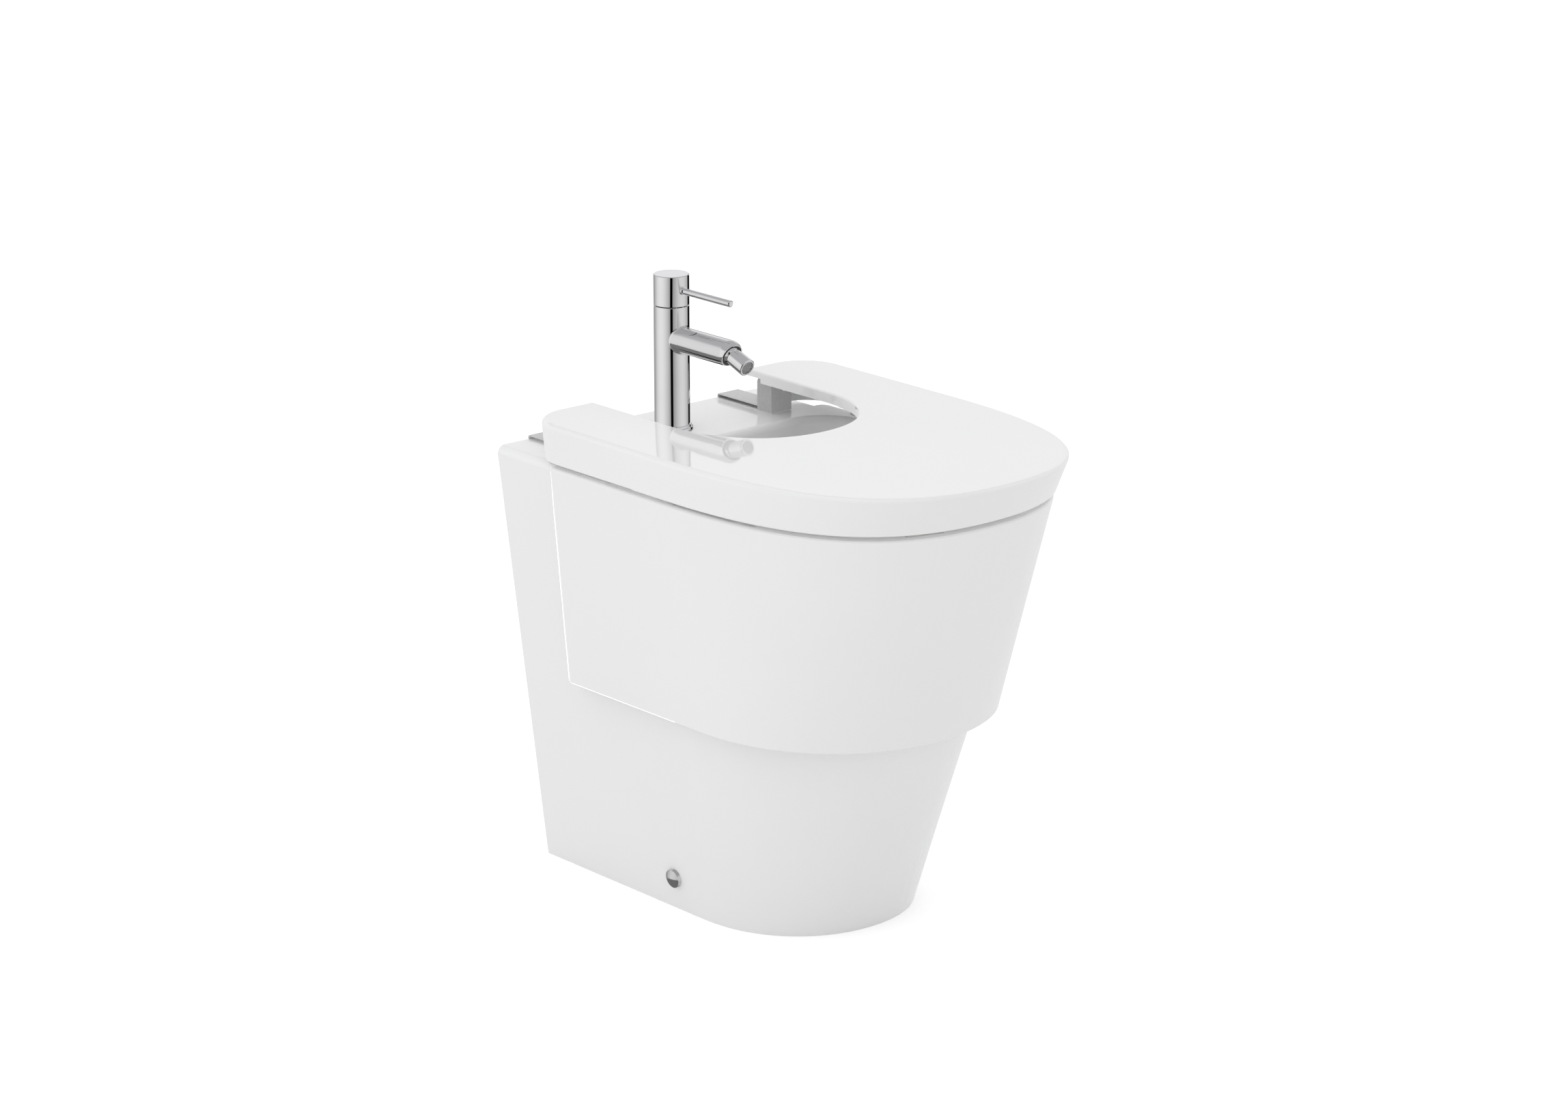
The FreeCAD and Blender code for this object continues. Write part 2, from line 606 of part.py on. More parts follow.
def waste_holes():
    seat = upright(FLANGE_RADIUS + FLANGE_CLEARANCE, 0, WASTE_Y, WASTE_SEAT_Z, DECK_Z)
    through = upright(WASTE_HOLE_RADIUS, 0, WASTE_Y, LIP_Z, DECK_Z)
    return seat.fuse(through)


def side_point(z):
    return V(side_half_width(z), FIXING_Y, z)


SIDE_OUT = V(math.cos(math.radians(LEAN_ANGLE)), 0, -math.sin(math.radians(LEAN_ANGLE)))


def side_rod(radius, start, end):
    """Rod square to the right side wall; lengths are measured out of the wall."""
    origin = side_point(FIXING_Z)
    return rod(radius, origin + SIDE_OUT * start, origin + SIDE_OUT * end)


def ceramic_body():
    outside = slab().fuse([pedestal(0, 0, REAR_Y), bowl()])
    hollow = slab_hollow().fuse([pedestal(SHELL_WALL, -OVERCUT, REAR_Y + OVERCUT), bowl_hollow()])
    body = outside.cut(hollow.cut(basin_back())).cut(basin_cavity())
    low_z, high_z = DECK_UNDER_Z - OVERCUT, DECK_Z + OVERCUT
    side_hole = side_rod(SIDE_HOLE_RADIUS, -SHELL_WALL - ANGLE_GAP, OVERCUT)
    bolt_hole = upright(BOLT_HOLE_RADIUS, HINGE_X, BOLT_Y, low_z, high_z)
    tap_hole = upright(TAP_HOLE_RADIUS, 0, TAP_Y, low_z, high_z)
    tools = [waste_holes(), side_hole, mirrored(side_hole), bolt_hole, mirrored(bolt_hole), tap_hole]
    return body.cut(tools[0].fuse(tools[1:]))


# ---- cover ------------------------------------------------------------------
def cover_outline(z, inset):
    share = (z - SKIRT_Z) / (COVER_TOP_Z - SKIRT_Z)

    def between(low, high):
        return low + (high - low) * share
    return d_outline(z, between(SKIRT_HALF_WIDTH, COVER_HALF_WIDTH) - inset,
                     between(SKIRT_REAR_Y, COVER_REAR_Y) - inset, BOWL_TOP_STRAIGHT_Y,
                     between(SKIRT_FRONT_Y, COVER_FRONT_Y) + inset, BOWL_TOP_FULLNESS,
                     between(SKIRT_CORNER, COVER_CORNER) - inset)


def slot_outline(z, margin):
    return d_outline(z, SLOT_HALF_WIDTH + margin, FAR / 2, SLOT_STRAIGHT_Y,
                     SLOT_FRONT_Y - margin, SLOT_FULLNESS)


def slot_prism(margin, z0, z1):
    return Part.Face(slot_outline(z0, margin)).extrude(V(0, 0, z1 - z0))


def slot_mouth():
    """Flared upper end of the slot, for its rounded edge."""
    foot_z = COVER_TOP_Z - SLOT_EDGE_RADIUS
    flare = edge_round(SLOT_EDGE_RADIUS, EDGE_BANDS)
    return loft([slot_outline(foot_z + rise, inset) for inset, rise in flare])


def bumper_places():
    """Centre and turn about Z of each bumper."""
    places = []
    for sign in (-1, 1):
        places.append((V(sign * BUMPER_SIDE_X, BUMPER_SIDE_Y, DECK_Z), 90))
        places.append((V(sign * BUMPER_FRONT_X, BUMPER_FRONT_Y, DECK_Z), sign * BUMPER_FRONT_TURN))
    return places


def bumper_block(place, turn, margin, z0, z1):
    length, width = BUMPER_LENGTH + 2 * margin, BUMPER_WIDTH + 2 * margin
    block = box(-length / 2, length / 2, -width / 2, width / 2, z0, z1)
    block = rounded(block, BUMPER_CORNER + margin, is_upright)
    block.rotate(V(0, 0, 0), Z_AXIS, turn)
    block.translate(V(place.x, place.y, 0))
    return block


def bumper_stud(place):
    return upright(BUMPER_STUD_RADIUS, place.x, place.y, SKIRT_Z, SKIRT_Z + BUMPER_STUD_LENGTH)


def hinge_notch():
    """Rear skirt left out behind the slot, the blocks, the channels and the ears."""
    reach = BRACKET_X + BRACKET_EAR + BRACKET_GAP
    return box(-reach, reach, HINGE_REAR_Y - SKIRT_WALL * 2, FAR / 2, SKIRT_Z - OVERCUT, PLATE_Z)


def cover_ribs():
    """Lattice that stiffens the plate in front of the brackets."""
    low_z, half = PLATE_Z - RIB_HEIGHT, RIB_WIDTH / 2
    rear_y = BRACKET_FRONT_Y - RIB_TO_BRACKET
    columns = int(COVER_HALF_WIDTH / RIB_PITCH)
    rows = int((rear_y - COVER_FRONT_Y) / RIB_PITCH)
    bars = []
    for i in range(-columns, columns + 1):
        bars.append(box(i * RIB_PITCH - half, i * RIB_PITCH + half, COVER_FRONT_Y, rear_y, low_z, PLATE_Z))
    for i in range(rows + 1):
        y = rear_y - half - i * RIB_PITCH
        bars.append(box(-COVER_HALF_WIDTH, COVER_HALF_WIDTH, y - half, y + half, low_z, PLATE_Z))
    return bars[0].fuse(bars[1:])


def cover():
    shell = rounded_prism(cover_outline, SKIRT_Z, SKIRT_EDGE_RADIUS, COVER_TOP_Z, COVER_EDGE_RADIUS)
    hollow = loft([cover_outline(SKIRT_Z - OVERCUT, SKIRT_WALL), cover_outline(PLATE_Z, SKIRT_WALL)])
    hollow = hollow.cut(slot_prism(SLOT_LIP_WIDTH, SLOT_LIP_Z, COVER_TOP_Z))
    for place, turn in bumper_places():
        hollow = hollow.cut(bumper_block(place, turn, BOSS_MARGIN, SKIRT_Z, COVER_TOP_Z))
    body = shell.cut(hollow.cut(cover_ribs()))
    body = body.cut(slot_prism(0, SKIRT_Z - OVERCUT, COVER_TOP_Z)).cut(slot_mouth())
    body = body.cut(hinge_notch())
    body = body.cut(Part.makeCompound([bumper_stud(place) for place, _ in bumper_places()]))
    screws = Part.makeCompound([bracket_screw_shank(y) for y in bracket_screw_places()])
    return body.cut(screws).cut(mirrored(screws))


def cover_bumpers():
    solids = []
    for place, turn in bumper_places():
        pad = bumper_block(place, turn, 0, DECK_Z, SKIRT_Z)
        solids.append(pad.fuse(bumper_stud(place)))
    return Part.makeCompound(solids)


# ---- hinges (right side; the left is its mirror image) ----------------------
def hinge_block():
    x0, x1 = HINGE_INNER_X, HINGE_OUTER_X
    top_z = PIN_Z + HINGE_NOSE_RADIUS
    body = box(x0, x1, HINGE_FRONT_Y, PIN_Y, BASE_LEG_Z, top_z)
    body = body.fuse(box(x0, x1, PIN_Y, HINGE_REAR_Y, BASE_LEG_Z, PIN_Z))
    body = body.fuse(rod(HINGE_NOSE_RADIUS, V(x0, PIN_Y, PIN_Z), V(x1, PIN_Y, PIN_Z)))
    body = body.removeSplitter()
    bore = rod(DAMPER_RADIUS, V(x1 - DAMPER_LENGTH, PIN_Y, PIN_Z), V(x1, PIN_Y, PIN_Z))
    return body.cut(bore)


def hinge_damper():
    return tube(DAMPER_RADIUS, PIN_RADIUS + RUNNING_GAP,
                V(HINGE_OUTER_X - DAMPER_LENGTH, PIN_Y, PIN_Z), V(HINGE_OUTER_X, PIN_Y, PIN_Z))


def hinge_pin():
    inner_x = HINGE_OUTER_X - DAMPER_LENGTH + PIN_END_GAP
    return rod(PIN_RADIUS, V(inner_x, PIN_Y, PIN_Z), V(BRACKET_X + BRACKET_EAR, PIN_Y, PIN_Z))


def hinge_base():
    """Folded channel: lower leg under the block, round rear fold, upper leg."""
    x0, width = HINGE_INNER_X + BASE_INSET, HINGE_WIDTH - 2 * BASE_INSET
    radius = BASE_HEIGHT / 2
    fold_y = BASE_REAR_Y - radius
    fold_start, fold_end = V(x0, fold_y, DECK_Z + radius), V(x0 + width, fold_y, DECK_Z + radius)
    outer = box(x0, x0 + width, HINGE_FRONT_Y + BASE_INSET, fold_y, DECK_Z, DECK_Z + BASE_HEIGHT)
    outer = outer.fuse(rod(radius, fold_start, fold_end))
    inner_z0, inner_z1 = BASE_LEG_Z, DECK_Z + BASE_HEIGHT - BASE_SHEET
    inner = box(x0, x0 + width, HINGE_FRONT_Y - OVERCUT, fold_y, inner_z0, inner_z1)
    inner = inner.fuse(rod(radius - BASE_SHEET, fold_start, fold_end))
    under_block = box(x0, x0 + width, HINGE_FRONT_Y - OVERCUT, HINGE_REAR_Y, BASE_LEG_Z, FAR)
    channel = outer.cut(inner).cut(under_block)
    hole = upright(BOLT_RADIUS, HINGE_X, BOLT_Y, DECK_Z, BASE_LEG_Z)
    return channel.cut(hole)


def hinge_bolt():
    head = upright(BOLT_HEAD_RADIUS, HINGE_X, BOLT_Y, BASE_LEG_Z, BASE_LEG_Z + BOLT_HEAD_HEIGHT)
    return head.fuse(upright(BOLT_RADIUS, HINGE_X, BOLT_Y, BASE_LEG_Z - BOLT_LENGTH, BASE_LEG_Z))


def hinge_rubber():
    low_z = DECK_UNDER_Z - BOLT_WASHER_THICKNESS
    disc = upright(BOLT_WASHER_RADIUS, HINGE_X, BOLT_Y, low_z, DECK_UNDER_Z)
    bush = upright(BOLT_HOLE_RADIUS, HINGE_X, BOLT_Y, DECK_UNDER_Z, DECK_Z - BASE_SHEET)
    return disc.fuse(bush).cut(upright(BOLT_RADIUS, HINGE_X, BOLT_Y, low_z, DECK_Z))


def hinge_washer():
    top_z = DECK_UNDER_Z - BOLT_WASHER_THICKNESS
    return upright_tube(BOLT_WASHER_RADIUS, BOLT_RADIUS, HINGE_X, BOLT_Y,
                        top_z - BOLT_PLATE_THICKNESS, top_z)


def hinge_nut():
    top_z = DECK_UNDER_Z - BOLT_WASHER_THICKNESS - BOLT_PLATE_THICKNESS
    return hexagon(NUT_RADIUS, BOLT_RADIUS, HINGE_X, BOLT_Y, top_z - NUT_HEIGHT, top_z)


def bracket_screw_places():
    return [BRACKET_FRONT_Y + BRACKET_SCREW_EDGE, HINGE_FRONT_Y]


def bracket_screw_x():
    return BRACKET_X + BRACKET_LENGTH_X - BRACKET_SCREW_HEAD * 2


def bracket_screw_shank(y):
    return upright(BRACKET_SCREW_RADIUS, bracket_screw_x(), y,
                   PLATE_Z - BRACKET_PLATE, PLATE_Z + BRACKET_SCREW_GRIP)


def cover_bracket():
    """Plate screwed under the cover with an ear round the end of the hinge pin."""
    ear_x1 = BRACKET_X + BRACKET_EAR
    ear_y0, ear_y1 = PIN_Y - BRACKET_EAR_RADIUS, PIN_Y + BRACKET_EAR_RADIUS
    plate_z = PLATE_Z - BRACKET_PLATE
    plate = box(BRACKET_X, BRACKET_X + BRACKET_LENGTH_X, BRACKET_FRONT_Y, ear_y0 - BRACKET_SETBACK,
                plate_z, PLATE_Z)
    ear = rod(BRACKET_EAR_RADIUS, V(BRACKET_X, PIN_Y, PIN_Z), V(ear_x1, PIN_Y, PIN_Z))
    ear = ear.fuse([box(BRACKET_X, ear_x1, ear_y0, ear_y1, PIN_Z, PLATE_Z),
                    box(BRACKET_X, ear_x1, BRACKET_FRONT_Y, ear_y1, plate_z, PLATE_Z)])
    bore = rod(PIN_RADIUS, V(BRACKET_X, PIN_Y, PIN_Z), V(ear_x1, PIN_Y, PIN_Z))
    holes = Part.makeCompound([bracket_screw_shank(y) for y in bracket_screw_places()])
    return plate.fuse(ear).removeSplitter().cut(bore).cut(holes)


def bracket_screws():
    head_z = PLATE_Z - BRACKET_PLATE
    solids = []
    for y in bracket_screw_places():
        head = upright(BRACKET_SCREW_HEAD, bracket_screw_x(), y, head_z - BRACKET_SCREW_RADIUS, head_z)
        solids.append(head.fuse(bracket_screw_shank(y)))
    return Part.makeCompound(solids + [mirrored(solid) for solid in solids])


# ---- mixer ------------------------------------------------------------------
def mouth_direction():
    pitch = math.radians(MOUTH_PITCH)
    return V(0, -math.cos(pitch), -math.sin(pitch))


def is_spout_root(edge):
    bounds = edge.BoundBox
    around = bounds.YMax <= TAP_Y and bounds.YMin >= TAP_Y - TAP_RADIUS - TOUCH
    return around and bounds.ZMin > SPOUT_Z - 2 * SPOUT_RADIUS and bounds.ZMax < SPOUT_Z + 2 * SPOUT_RADIUS


def mixer_body():
    """Column with the cartridge's chamber, the inlets and a stub for the spout."""
    stub = rod(SPOUT_RADIUS, V(0, TAP_Y, SPOUT_Z), SPOUT_JOINT)
    body = upright(TAP_RADIUS, 0, TAP_Y, MIXER_FOOT_Z, SEAM_Z).fuse(stub)
    body = rounded(body, SPOUT_ROOT_FILLET, is_spout_root)
    body = chamfered(body, BODY_EDGE_CHAMFER, at_height(SEAM_Z))
    socket_depth = SPIGOT_LENGTH + SPIGOT_END_GAP
    cuts = [upright(CARTRIDGE_RADIUS, 0, TAP_Y, CARTRIDGE_FOOT_Z, SEAM_Z),
            upright(CARTRIDGE_NUT_RADIUS, 0, TAP_Y, CARTRIDGE_TOP_Z, SEAM_Z),
            rod(SPOUT_BORE, V(0, TAP_Y, SPOUT_Z), SPOUT_JOINT),
            rod(SPIGOT_RADIUS + RUNNING_GAP, SPOUT_JOINT + Y_AXIS * socket_depth, SPOUT_JOINT),
            upright(STUD_RADIUS, 0, TAP_Y + STUD_OFFSET_Y, MIXER_FOOT_Z, MIXER_FOOT_Z + STUD_GRIP)]
    for sign in (-1, 1):
        x = sign * PORT_X
        cuts.append(upright(PORT_RADIUS, x, TAP_Y, MIXER_FOOT_Z, MIXER_FOOT_Z + PORT_DEPTH))
        cuts.append(upright(INLET_RADIUS, x, TAP_Y, MIXER_FOOT_Z, CARTRIDGE_FOOT_Z))
    return body.cut(cuts[0].fuse(cuts[1:]))


def mixer_spout():
    """Spout tube with a spigot in the body's stub and a domed end, cut slanted round the ball."""
    along = mouth_direction()
    face = BALL + along * MOUTH_DEPTH
    dome = Part.makeSphere(SPOUT_RADIUS, BALL, -Y_AXIS, 0, 90, 360)
    pipe = rod(SPOUT_RADIUS, SPOUT_JOINT, BALL).fuse(dome)
    pipe = pipe.cut(rod(4 * SPOUT_RADIUS, face, face + along * 4 * SPOUT_RADIUS))
    spigot_end = SPOUT_JOINT + Y_AXIS * SPIGOT_LENGTH
    pipe = pipe.fuse(rod(SPIGOT_RADIUS, spigot_end, SPOUT_JOINT))
    pocket_back, pocket_front = BALL + Y_AXIS * BALL_POCKET_DEPTH, BALL - Y_AXIS * BALL_POCKET_FRONT
    cuts = [rod(SPOUT_BORE, spigot_end, BALL),
            rod(BALL_POCKET_RADIUS, pocket_back, pocket_front),
            rod(SEAT_RADIUS, BALL - along * SEAT_BACK, BALL + along * 2 * SPOUT_RADIUS)]
    return pipe.cut(cuts[0].fuse(cuts[1:]))


def mixer_base_ring():
    low = upright(RING_RADIUS, 0, TAP_Y, MIXER_FOOT_Z, MIXER_FOOT_Z + RING_STEP_HEIGHT)
    low = chamfered(low, RING_EDGE, at_height(MIXER_FOOT_Z + RING_STEP_HEIGHT))
    high = upright(RING_STEP_RADIUS, 0, TAP_Y, MIXER_FOOT_Z, MIXER_FOOT_Z + RING_HEIGHT)
    high = chamfered(high, RING_STEP_EDGE, at_height(MIXER_FOOT_Z + RING_HEIGHT))
    return low.fuse(high).cut(upright(TAP_RADIUS, 0, TAP_Y, MIXER_FOOT_Z, SEAM_Z))


def mixer_gasket():
    return upright_tube(GASKET_RADIUS, TAP_HOLE_RADIUS - GASKET_INSET, 0, TAP_Y, DECK_Z, MIXER_FOOT_Z)


def clamp_horseshoe(z0, z1):
    """Open washer under the deck that slips past the supply hoses."""
    disc = upright(CLAMP_RADIUS, 0, TAP_Y, z0, z1)
    mouth_y = TAP_Y + STUD_OFFSET_Y - CLAMP_STUD_WALL
    mouth = box(-CLAMP_MOUTH, CLAMP_MOUTH, TAP_Y - FAR / 2, mouth_y, z0, z1)
    stud = upright(STUD_RADIUS, 0, TAP_Y + STUD_OFFSET_Y, z0, z1)
    return disc.cut(mouth).cut(stud)


def mixer_clamp_rubber():
    return clamp_horseshoe(DECK_UNDER_Z - CLAMP_RUBBER, DECK_UNDER_Z)


def mixer_clamp_plate():
    top_z = DECK_UNDER_Z - CLAMP_RUBBER
    return clamp_horseshoe(top_z - CLAMP_STEEL, top_z)


def mixer_stud():
    top_z = MIXER_FOOT_Z + STUD_GRIP
    return upright(STUD_RADIUS, 0, TAP_Y + STUD_OFFSET_Y, top_z - STUD_LENGTH, top_z)


def mixer_stud_nut():
    top_z = DECK_UNDER_Z - CLAMP_RUBBER - CLAMP_STEEL
    return hexagon(NUT_RADIUS, STUD_RADIUS, 0, TAP_Y + STUD_OFFSET_Y, top_z - NUT_HEIGHT, top_z)


def cartridge():
    """Housing with a chamber for the carrier and outlets to the spout."""
    body = upright(CARTRIDGE_RADIUS, 0, TAP_Y, CARTRIDGE_FOOT_Z, CARTRIDGE_TOP_Z)
    low_z, high_z = TILT_Z - CARRIER_HEIGHT / 2, TILT_Z + CARRIER_HEIGHT / 2
    chamber = upright(CARRIER_RADIUS + RUNNING_GAP, 0, TAP_Y, low_z - RUNNING_GAP, high_z + RUNNING_GAP)
    mouth = upright(CARTRIDGE_TOP_BORE, 0, TAP_Y, high_z, CARTRIDGE_TOP_Z)
    outlet = rod(SPOUT_BORE, V(0, TAP_Y, SPOUT_Z), V(0, TAP_Y - CARTRIDGE_RADIUS, SPOUT_Z))
    return body.cut(chamber.fuse([mouth, outlet]))


def cartridge_nut():
    return upright_tube(CARTRIDGE_NUT_RADIUS, CARTRIDGE_NUT_BORE, 0, TAP_Y, CARTRIDGE_TOP_Z, SEAM_Z)


def cartridge_carrier():
    """Disc that turns with the handle; the stem's cross pin lies in its bore."""
    low_z, high_z = TILT_Z - CARRIER_HEIGHT / 2, TILT_Z + CARRIER_HEIGHT / 2
    disc = upright(CARRIER_RADIUS, 0, TAP_Y, low_z, high_z)
    reach = V(CARRIER_RADIUS, 0, 0)
    pivot = V(0, TAP_Y, TILT_Z)
    bore = rod(TRUNNION_RADIUS + RUNNING_GAP, pivot - reach, pivot + reach)
    half = math.tan(math.radians(CARRIER_SLOT_TILT)) * CARRIER_HEIGHT / 2 + STEM_RADIUS
    wide = STEM_RADIUS + BALL_GAP
    slot = box(-wide, wide, TAP_Y - half, TAP_Y + half, low_z, high_z)
    return disc.cut(bore.fuse(slot))


def cartridge_stem():
    """Lever stem on a cross pin, which is its tilt axis."""
    reach = V(TRUNNION_HALF_LENGTH, 0, 0)
    pivot = V(0, TAP_Y, TILT_Z)
    stem = upright(STEM_RADIUS, 0, TAP_Y, TILT_Z - STEM_FOOT, STEM_TOP_Z)
    return stem.fuse(rod(TRUNNION_RADIUS, pivot - reach, pivot + reach))


def handle_cap():
    """Cup over the body; its thin lower rim lets it tilt past the seam."""
    body = upright(TAP_RADIUS, 0, TAP_Y, CAP_FOOT_Z, TAP_TOP_Z)
    body = chamfered(body, CAP_EDGE_RADIUS, at_height(TAP_TOP_Z))
    roof_z = TAP_TOP_Z - CAP_ROOF
    rim_radius, wall_radius = TAP_RADIUS - CAP_RIM_WALL, TAP_RADIUS - CAP_WALL
    chamfer_z = CAP_FOOT_Z + rim_radius - wall_radius
    flare = Part.makeCone(rim_radius, wall_radius, chamfer_z - CAP_FOOT_Z, V(0, TAP_Y, CAP_FOOT_Z))
    hollow = flare.fuse(upright(wall_radius, 0, TAP_Y, chamfer_z, roof_z))
    hollow = hollow.cut(upright(SOCKET_RADIUS, 0, TAP_Y, SOCKET_FOOT_Z, roof_z))
    access_y = TAP_Y + SOCKET_RADIUS
    cuts = [upright(STEM_RADIUS, 0, TAP_Y, SOCKET_FOOT_Z, STEM_TOP_Z),
            rod(LEVER_RADIUS, V(0, TAP_Y + LEVER_SOCKET, LEVER_Z), V(0, TAP_Y - TAP_RADIUS, LEVER_Z)),
            rod(GRUB_RADIUS, V(0, TAP_Y, GRUB_Z), V(0, access_y, GRUB_Z)),
            rod(GRUB_ACCESS_RADIUS, V(0, access_y, GRUB_Z), V(0, TAP_Y + TAP_RADIUS + OVERCUT, GRUB_Z))]
    return body.cut(hollow).cut(cuts[0].fuse(cuts[1:]))


def handle_pin():
    start = V(0, TAP_Y + LEVER_SOCKET, LEVER_Z)
    tip = V(0, TAP_Y - LEVER_REACH, LEVER_Z)
    lever = rod(LEVER_RADIUS, start, tip)
    lever = chamfered(lever, LEVER_TIP_ROUND, lambda e: e.BoundBox.YMax < TAP_Y - LEVER_REACH + TOUCH)
    face_y = TAP_Y - TAP_RADIUS
    collar_root, collar_end = V(0, face_y + COLLAR_SINK, LEVER_Z), V(0, face_y - COLLAR_LENGTH, LEVER_Z)
    collar = rod(COLLAR_RADIUS, collar_root, collar_end)
    collar = collar.cut(upright(TAP_RADIUS, 0, TAP_Y, CAP_FOOT_Z, TAP_TOP_Z))
    return lever.fuse(collar)


def handle_grub_screw():
    start = V(0, TAP_Y + STEM_RADIUS, GRUB_Z)
    screw = rod(GRUB_RADIUS, start, start + V(0, GRUB_LENGTH, 0))
    socket = rod(GRUB_RADIUS / 2, start + V(0, GRUB_LENGTH - GRUB_SOCKET, 0), start + V(0, GRUB_LENGTH, 0))
    return screw.cut(socket).cut(upright(STEM_RADIUS, 0, TAP_Y, CAP_FOOT_Z, STEM_TOP_Z))


def nozzle_seat():
    """Retaining ring in the mouth that closes in front of the ball and turns with it."""
    along = mouth_direction()
    depth = MOUTH_DEPTH - SEAT_RECESS
    back, front = BALL - along * (SEAT_BACK - RUNNING_GAP), BALL + along * depth
    ring = rod(SEAT_RADIUS - RUNNING_GAP, back, front)
    bore = BALL_RADIUS + BALL_GAP
    mouth = math.sqrt(bore ** 2 - depth ** 2)
    throat = Part.makeCone(bore, mouth, depth, BALL, along)
    return ring.cut(rod(bore, back, BALL)).cut(throat)


def nozzle_ball_seal():
    touch = math.sqrt((BALL_RADIUS + BALL_GAP) ** 2 - BALL_SEAL_BORE ** 2)
    front, back = BALL + V(0, touch, 0), BALL + V(0, BALL_POCKET_DEPTH, 0)
    return tube(BALL_POCKET_RADIUS, BALL_SEAL_BORE, front, back)


def nozzle_ball():
    """Ball with a hollow threaded neck, bored through for the water."""
    neck = rod(NECK_RADIUS, BALL, BALL + V(0, -NECK_END, 0))
    ball = Part.makeSphere(BALL_RADIUS, BALL).fuse(neck)
    water = rod(WATERWAY_RADIUS, BALL + V(0, BALL_RADIUS + OVERCUT, 0), BALL + V(0, -NECK_END, 0))
    inlet = Part.makeCone(WATERWAY_RADIUS, BALL_SEAL_BORE, BALL_RADIUS, BALL, Y_AXIS)
    return tilted(ball.cut(water.fuse(inlet)), BALL, NOZZLE_PITCH)


def nozzle_sleeve():
    """Slightly tapered chrome sleeve screwed on the ball's neck."""
    base, tip = BALL + V(0, -NOZZLE_START, 0), BALL + V(0, -NOZZLE_LENGTH, 0)
    length = NOZZLE_LENGTH - NOZZLE_START
    sleeve = Part.makeCone(NOZZLE_BASE_RADIUS, NOZZLE_TIP_RADIUS, length, base, -Y_AXIS)
    sleeve = chamfered(sleeve, NOZZLE_EDGE, lambda e: e.BoundBox.YMax - e.BoundBox.YMin < TOUCH)
    aerator_start = tip + V(0, AERATOR_LENGTH + AERATOR_RECESS, 0)
    neck_end = BALL + V(0, -NECK_END, 0)
    cuts = rod(NECK_RADIUS, base, neck_end)
    cuts = cuts.fuse([rod(WATERWAY_RADIUS, neck_end, aerator_start), rod(AERATOR_RADIUS, aerator_start, tip)])
    dish_radius = math.sqrt(BALL_RADIUS ** 2 - NOZZLE_START ** 2) + SLEEVE_CLEARANCE
    dish_depth = math.sqrt(BALL_RADIUS ** 2 - NECK_RADIUS ** 2) - NOZZLE_START + SLEEVE_CLEARANCE
    dish = Part.makeCone(dish_radius, NECK_RADIUS, dish_depth, base, -Y_AXIS)
    return tilted(sleeve.cut(cuts).cut(dish), BALL, NOZZLE_PITCH)


def aerator():
    tip = BALL + V(0, -NOZZLE_LENGTH + AERATOR_RECESS + MESH_THICKNESS, 0)
    start = BALL + V(0, -NOZZLE_LENGTH + AERATOR_LENGTH + AERATOR_RECESS, 0)
    return tilted(tube(AERATOR_RADIUS, AERATOR_RADIUS - AERATOR_WALL, start, tip), BALL, NOZZLE_PITCH)


def aerator_mesh():
    back = BALL + V(0, -NOZZLE_LENGTH + AERATOR_RECESS + MESH_THICKNESS, 0)
    return tilted(rod(AERATOR_RADIUS, back, back + V(0, -MESH_THICKNESS, 0)), BALL, NOZZLE_PITCH)


# ---- waste ------------------------------------------------------------------
def waste_body():
    """Flange, threaded tube with a spider for the plug's stem, and a collet foot."""
    flange_z = BASIN_FLOOR_Z - FLANGE_THICKNESS
    flange = upright(FLANGE_RADIUS, 0, WASTE_Y, flange_z, BASIN_FLOOR_Z)
    flange = chamfered(flange, FLANGE_EDGE, at_height(BASIN_FLOOR_Z))
    body = flange.fuse(upright(WASTE_TUBE_RADIUS, 0, WASTE_Y, WASTE_TUBE_BOTTOM_Z, flange_z))
    body = body.cut(upright(WASTE_TUBE_BORE, 0, WASTE_Y, WASTE_TUBE_BOTTOM_Z + TAIL_INSERT, BASIN_FLOOR_Z))
    body = body.cut(upright(TAIL_SPIGOT_RADIUS, 0, WASTE_Y, WASTE_TUBE_BOTTOM_Z, BASIN_FLOOR_Z))
    arm, reach, top_z = SPIDER_ARM / 2, WASTE_TUBE_BORE, SPIDER_Z + SPIDER_HEIGHT
    bars = [box(-reach, reach, WASTE_Y - arm, WASTE_Y + arm, SPIDER_Z, top_z),
            box(-arm, arm, WASTE_Y - reach, WASTE_Y + reach, SPIDER_Z, top_z)]
    hub = upright(HUB_RADIUS, 0, WASTE_Y, SPIDER_Z, top_z)
    guide = upright(PLUG_STEM_RADIUS + RUNNING_GAP, 0, WASTE_Y, SPIDER_Z, top_z)
    return body.fuse(bars + [hub]).cut(guide)


def waste_seals():
    upper = upright_tube(FLANGE_RADIUS, WASTE_TUBE_RADIUS, 0, WASTE_Y, WASTE_SEAT_Z,
                         WASTE_SEAT_Z + FLANGE_SEAL_THICKNESS)
    lower = upright_tube(FLANGE_RADIUS, WASTE_TUBE_RADIUS, 0, WASTE_Y,
                         BASIN_UNDER_Z - WASTE_SEAL_THICKNESS, BASIN_UNDER_Z)
    return Part.makeCompound([upper, lower])


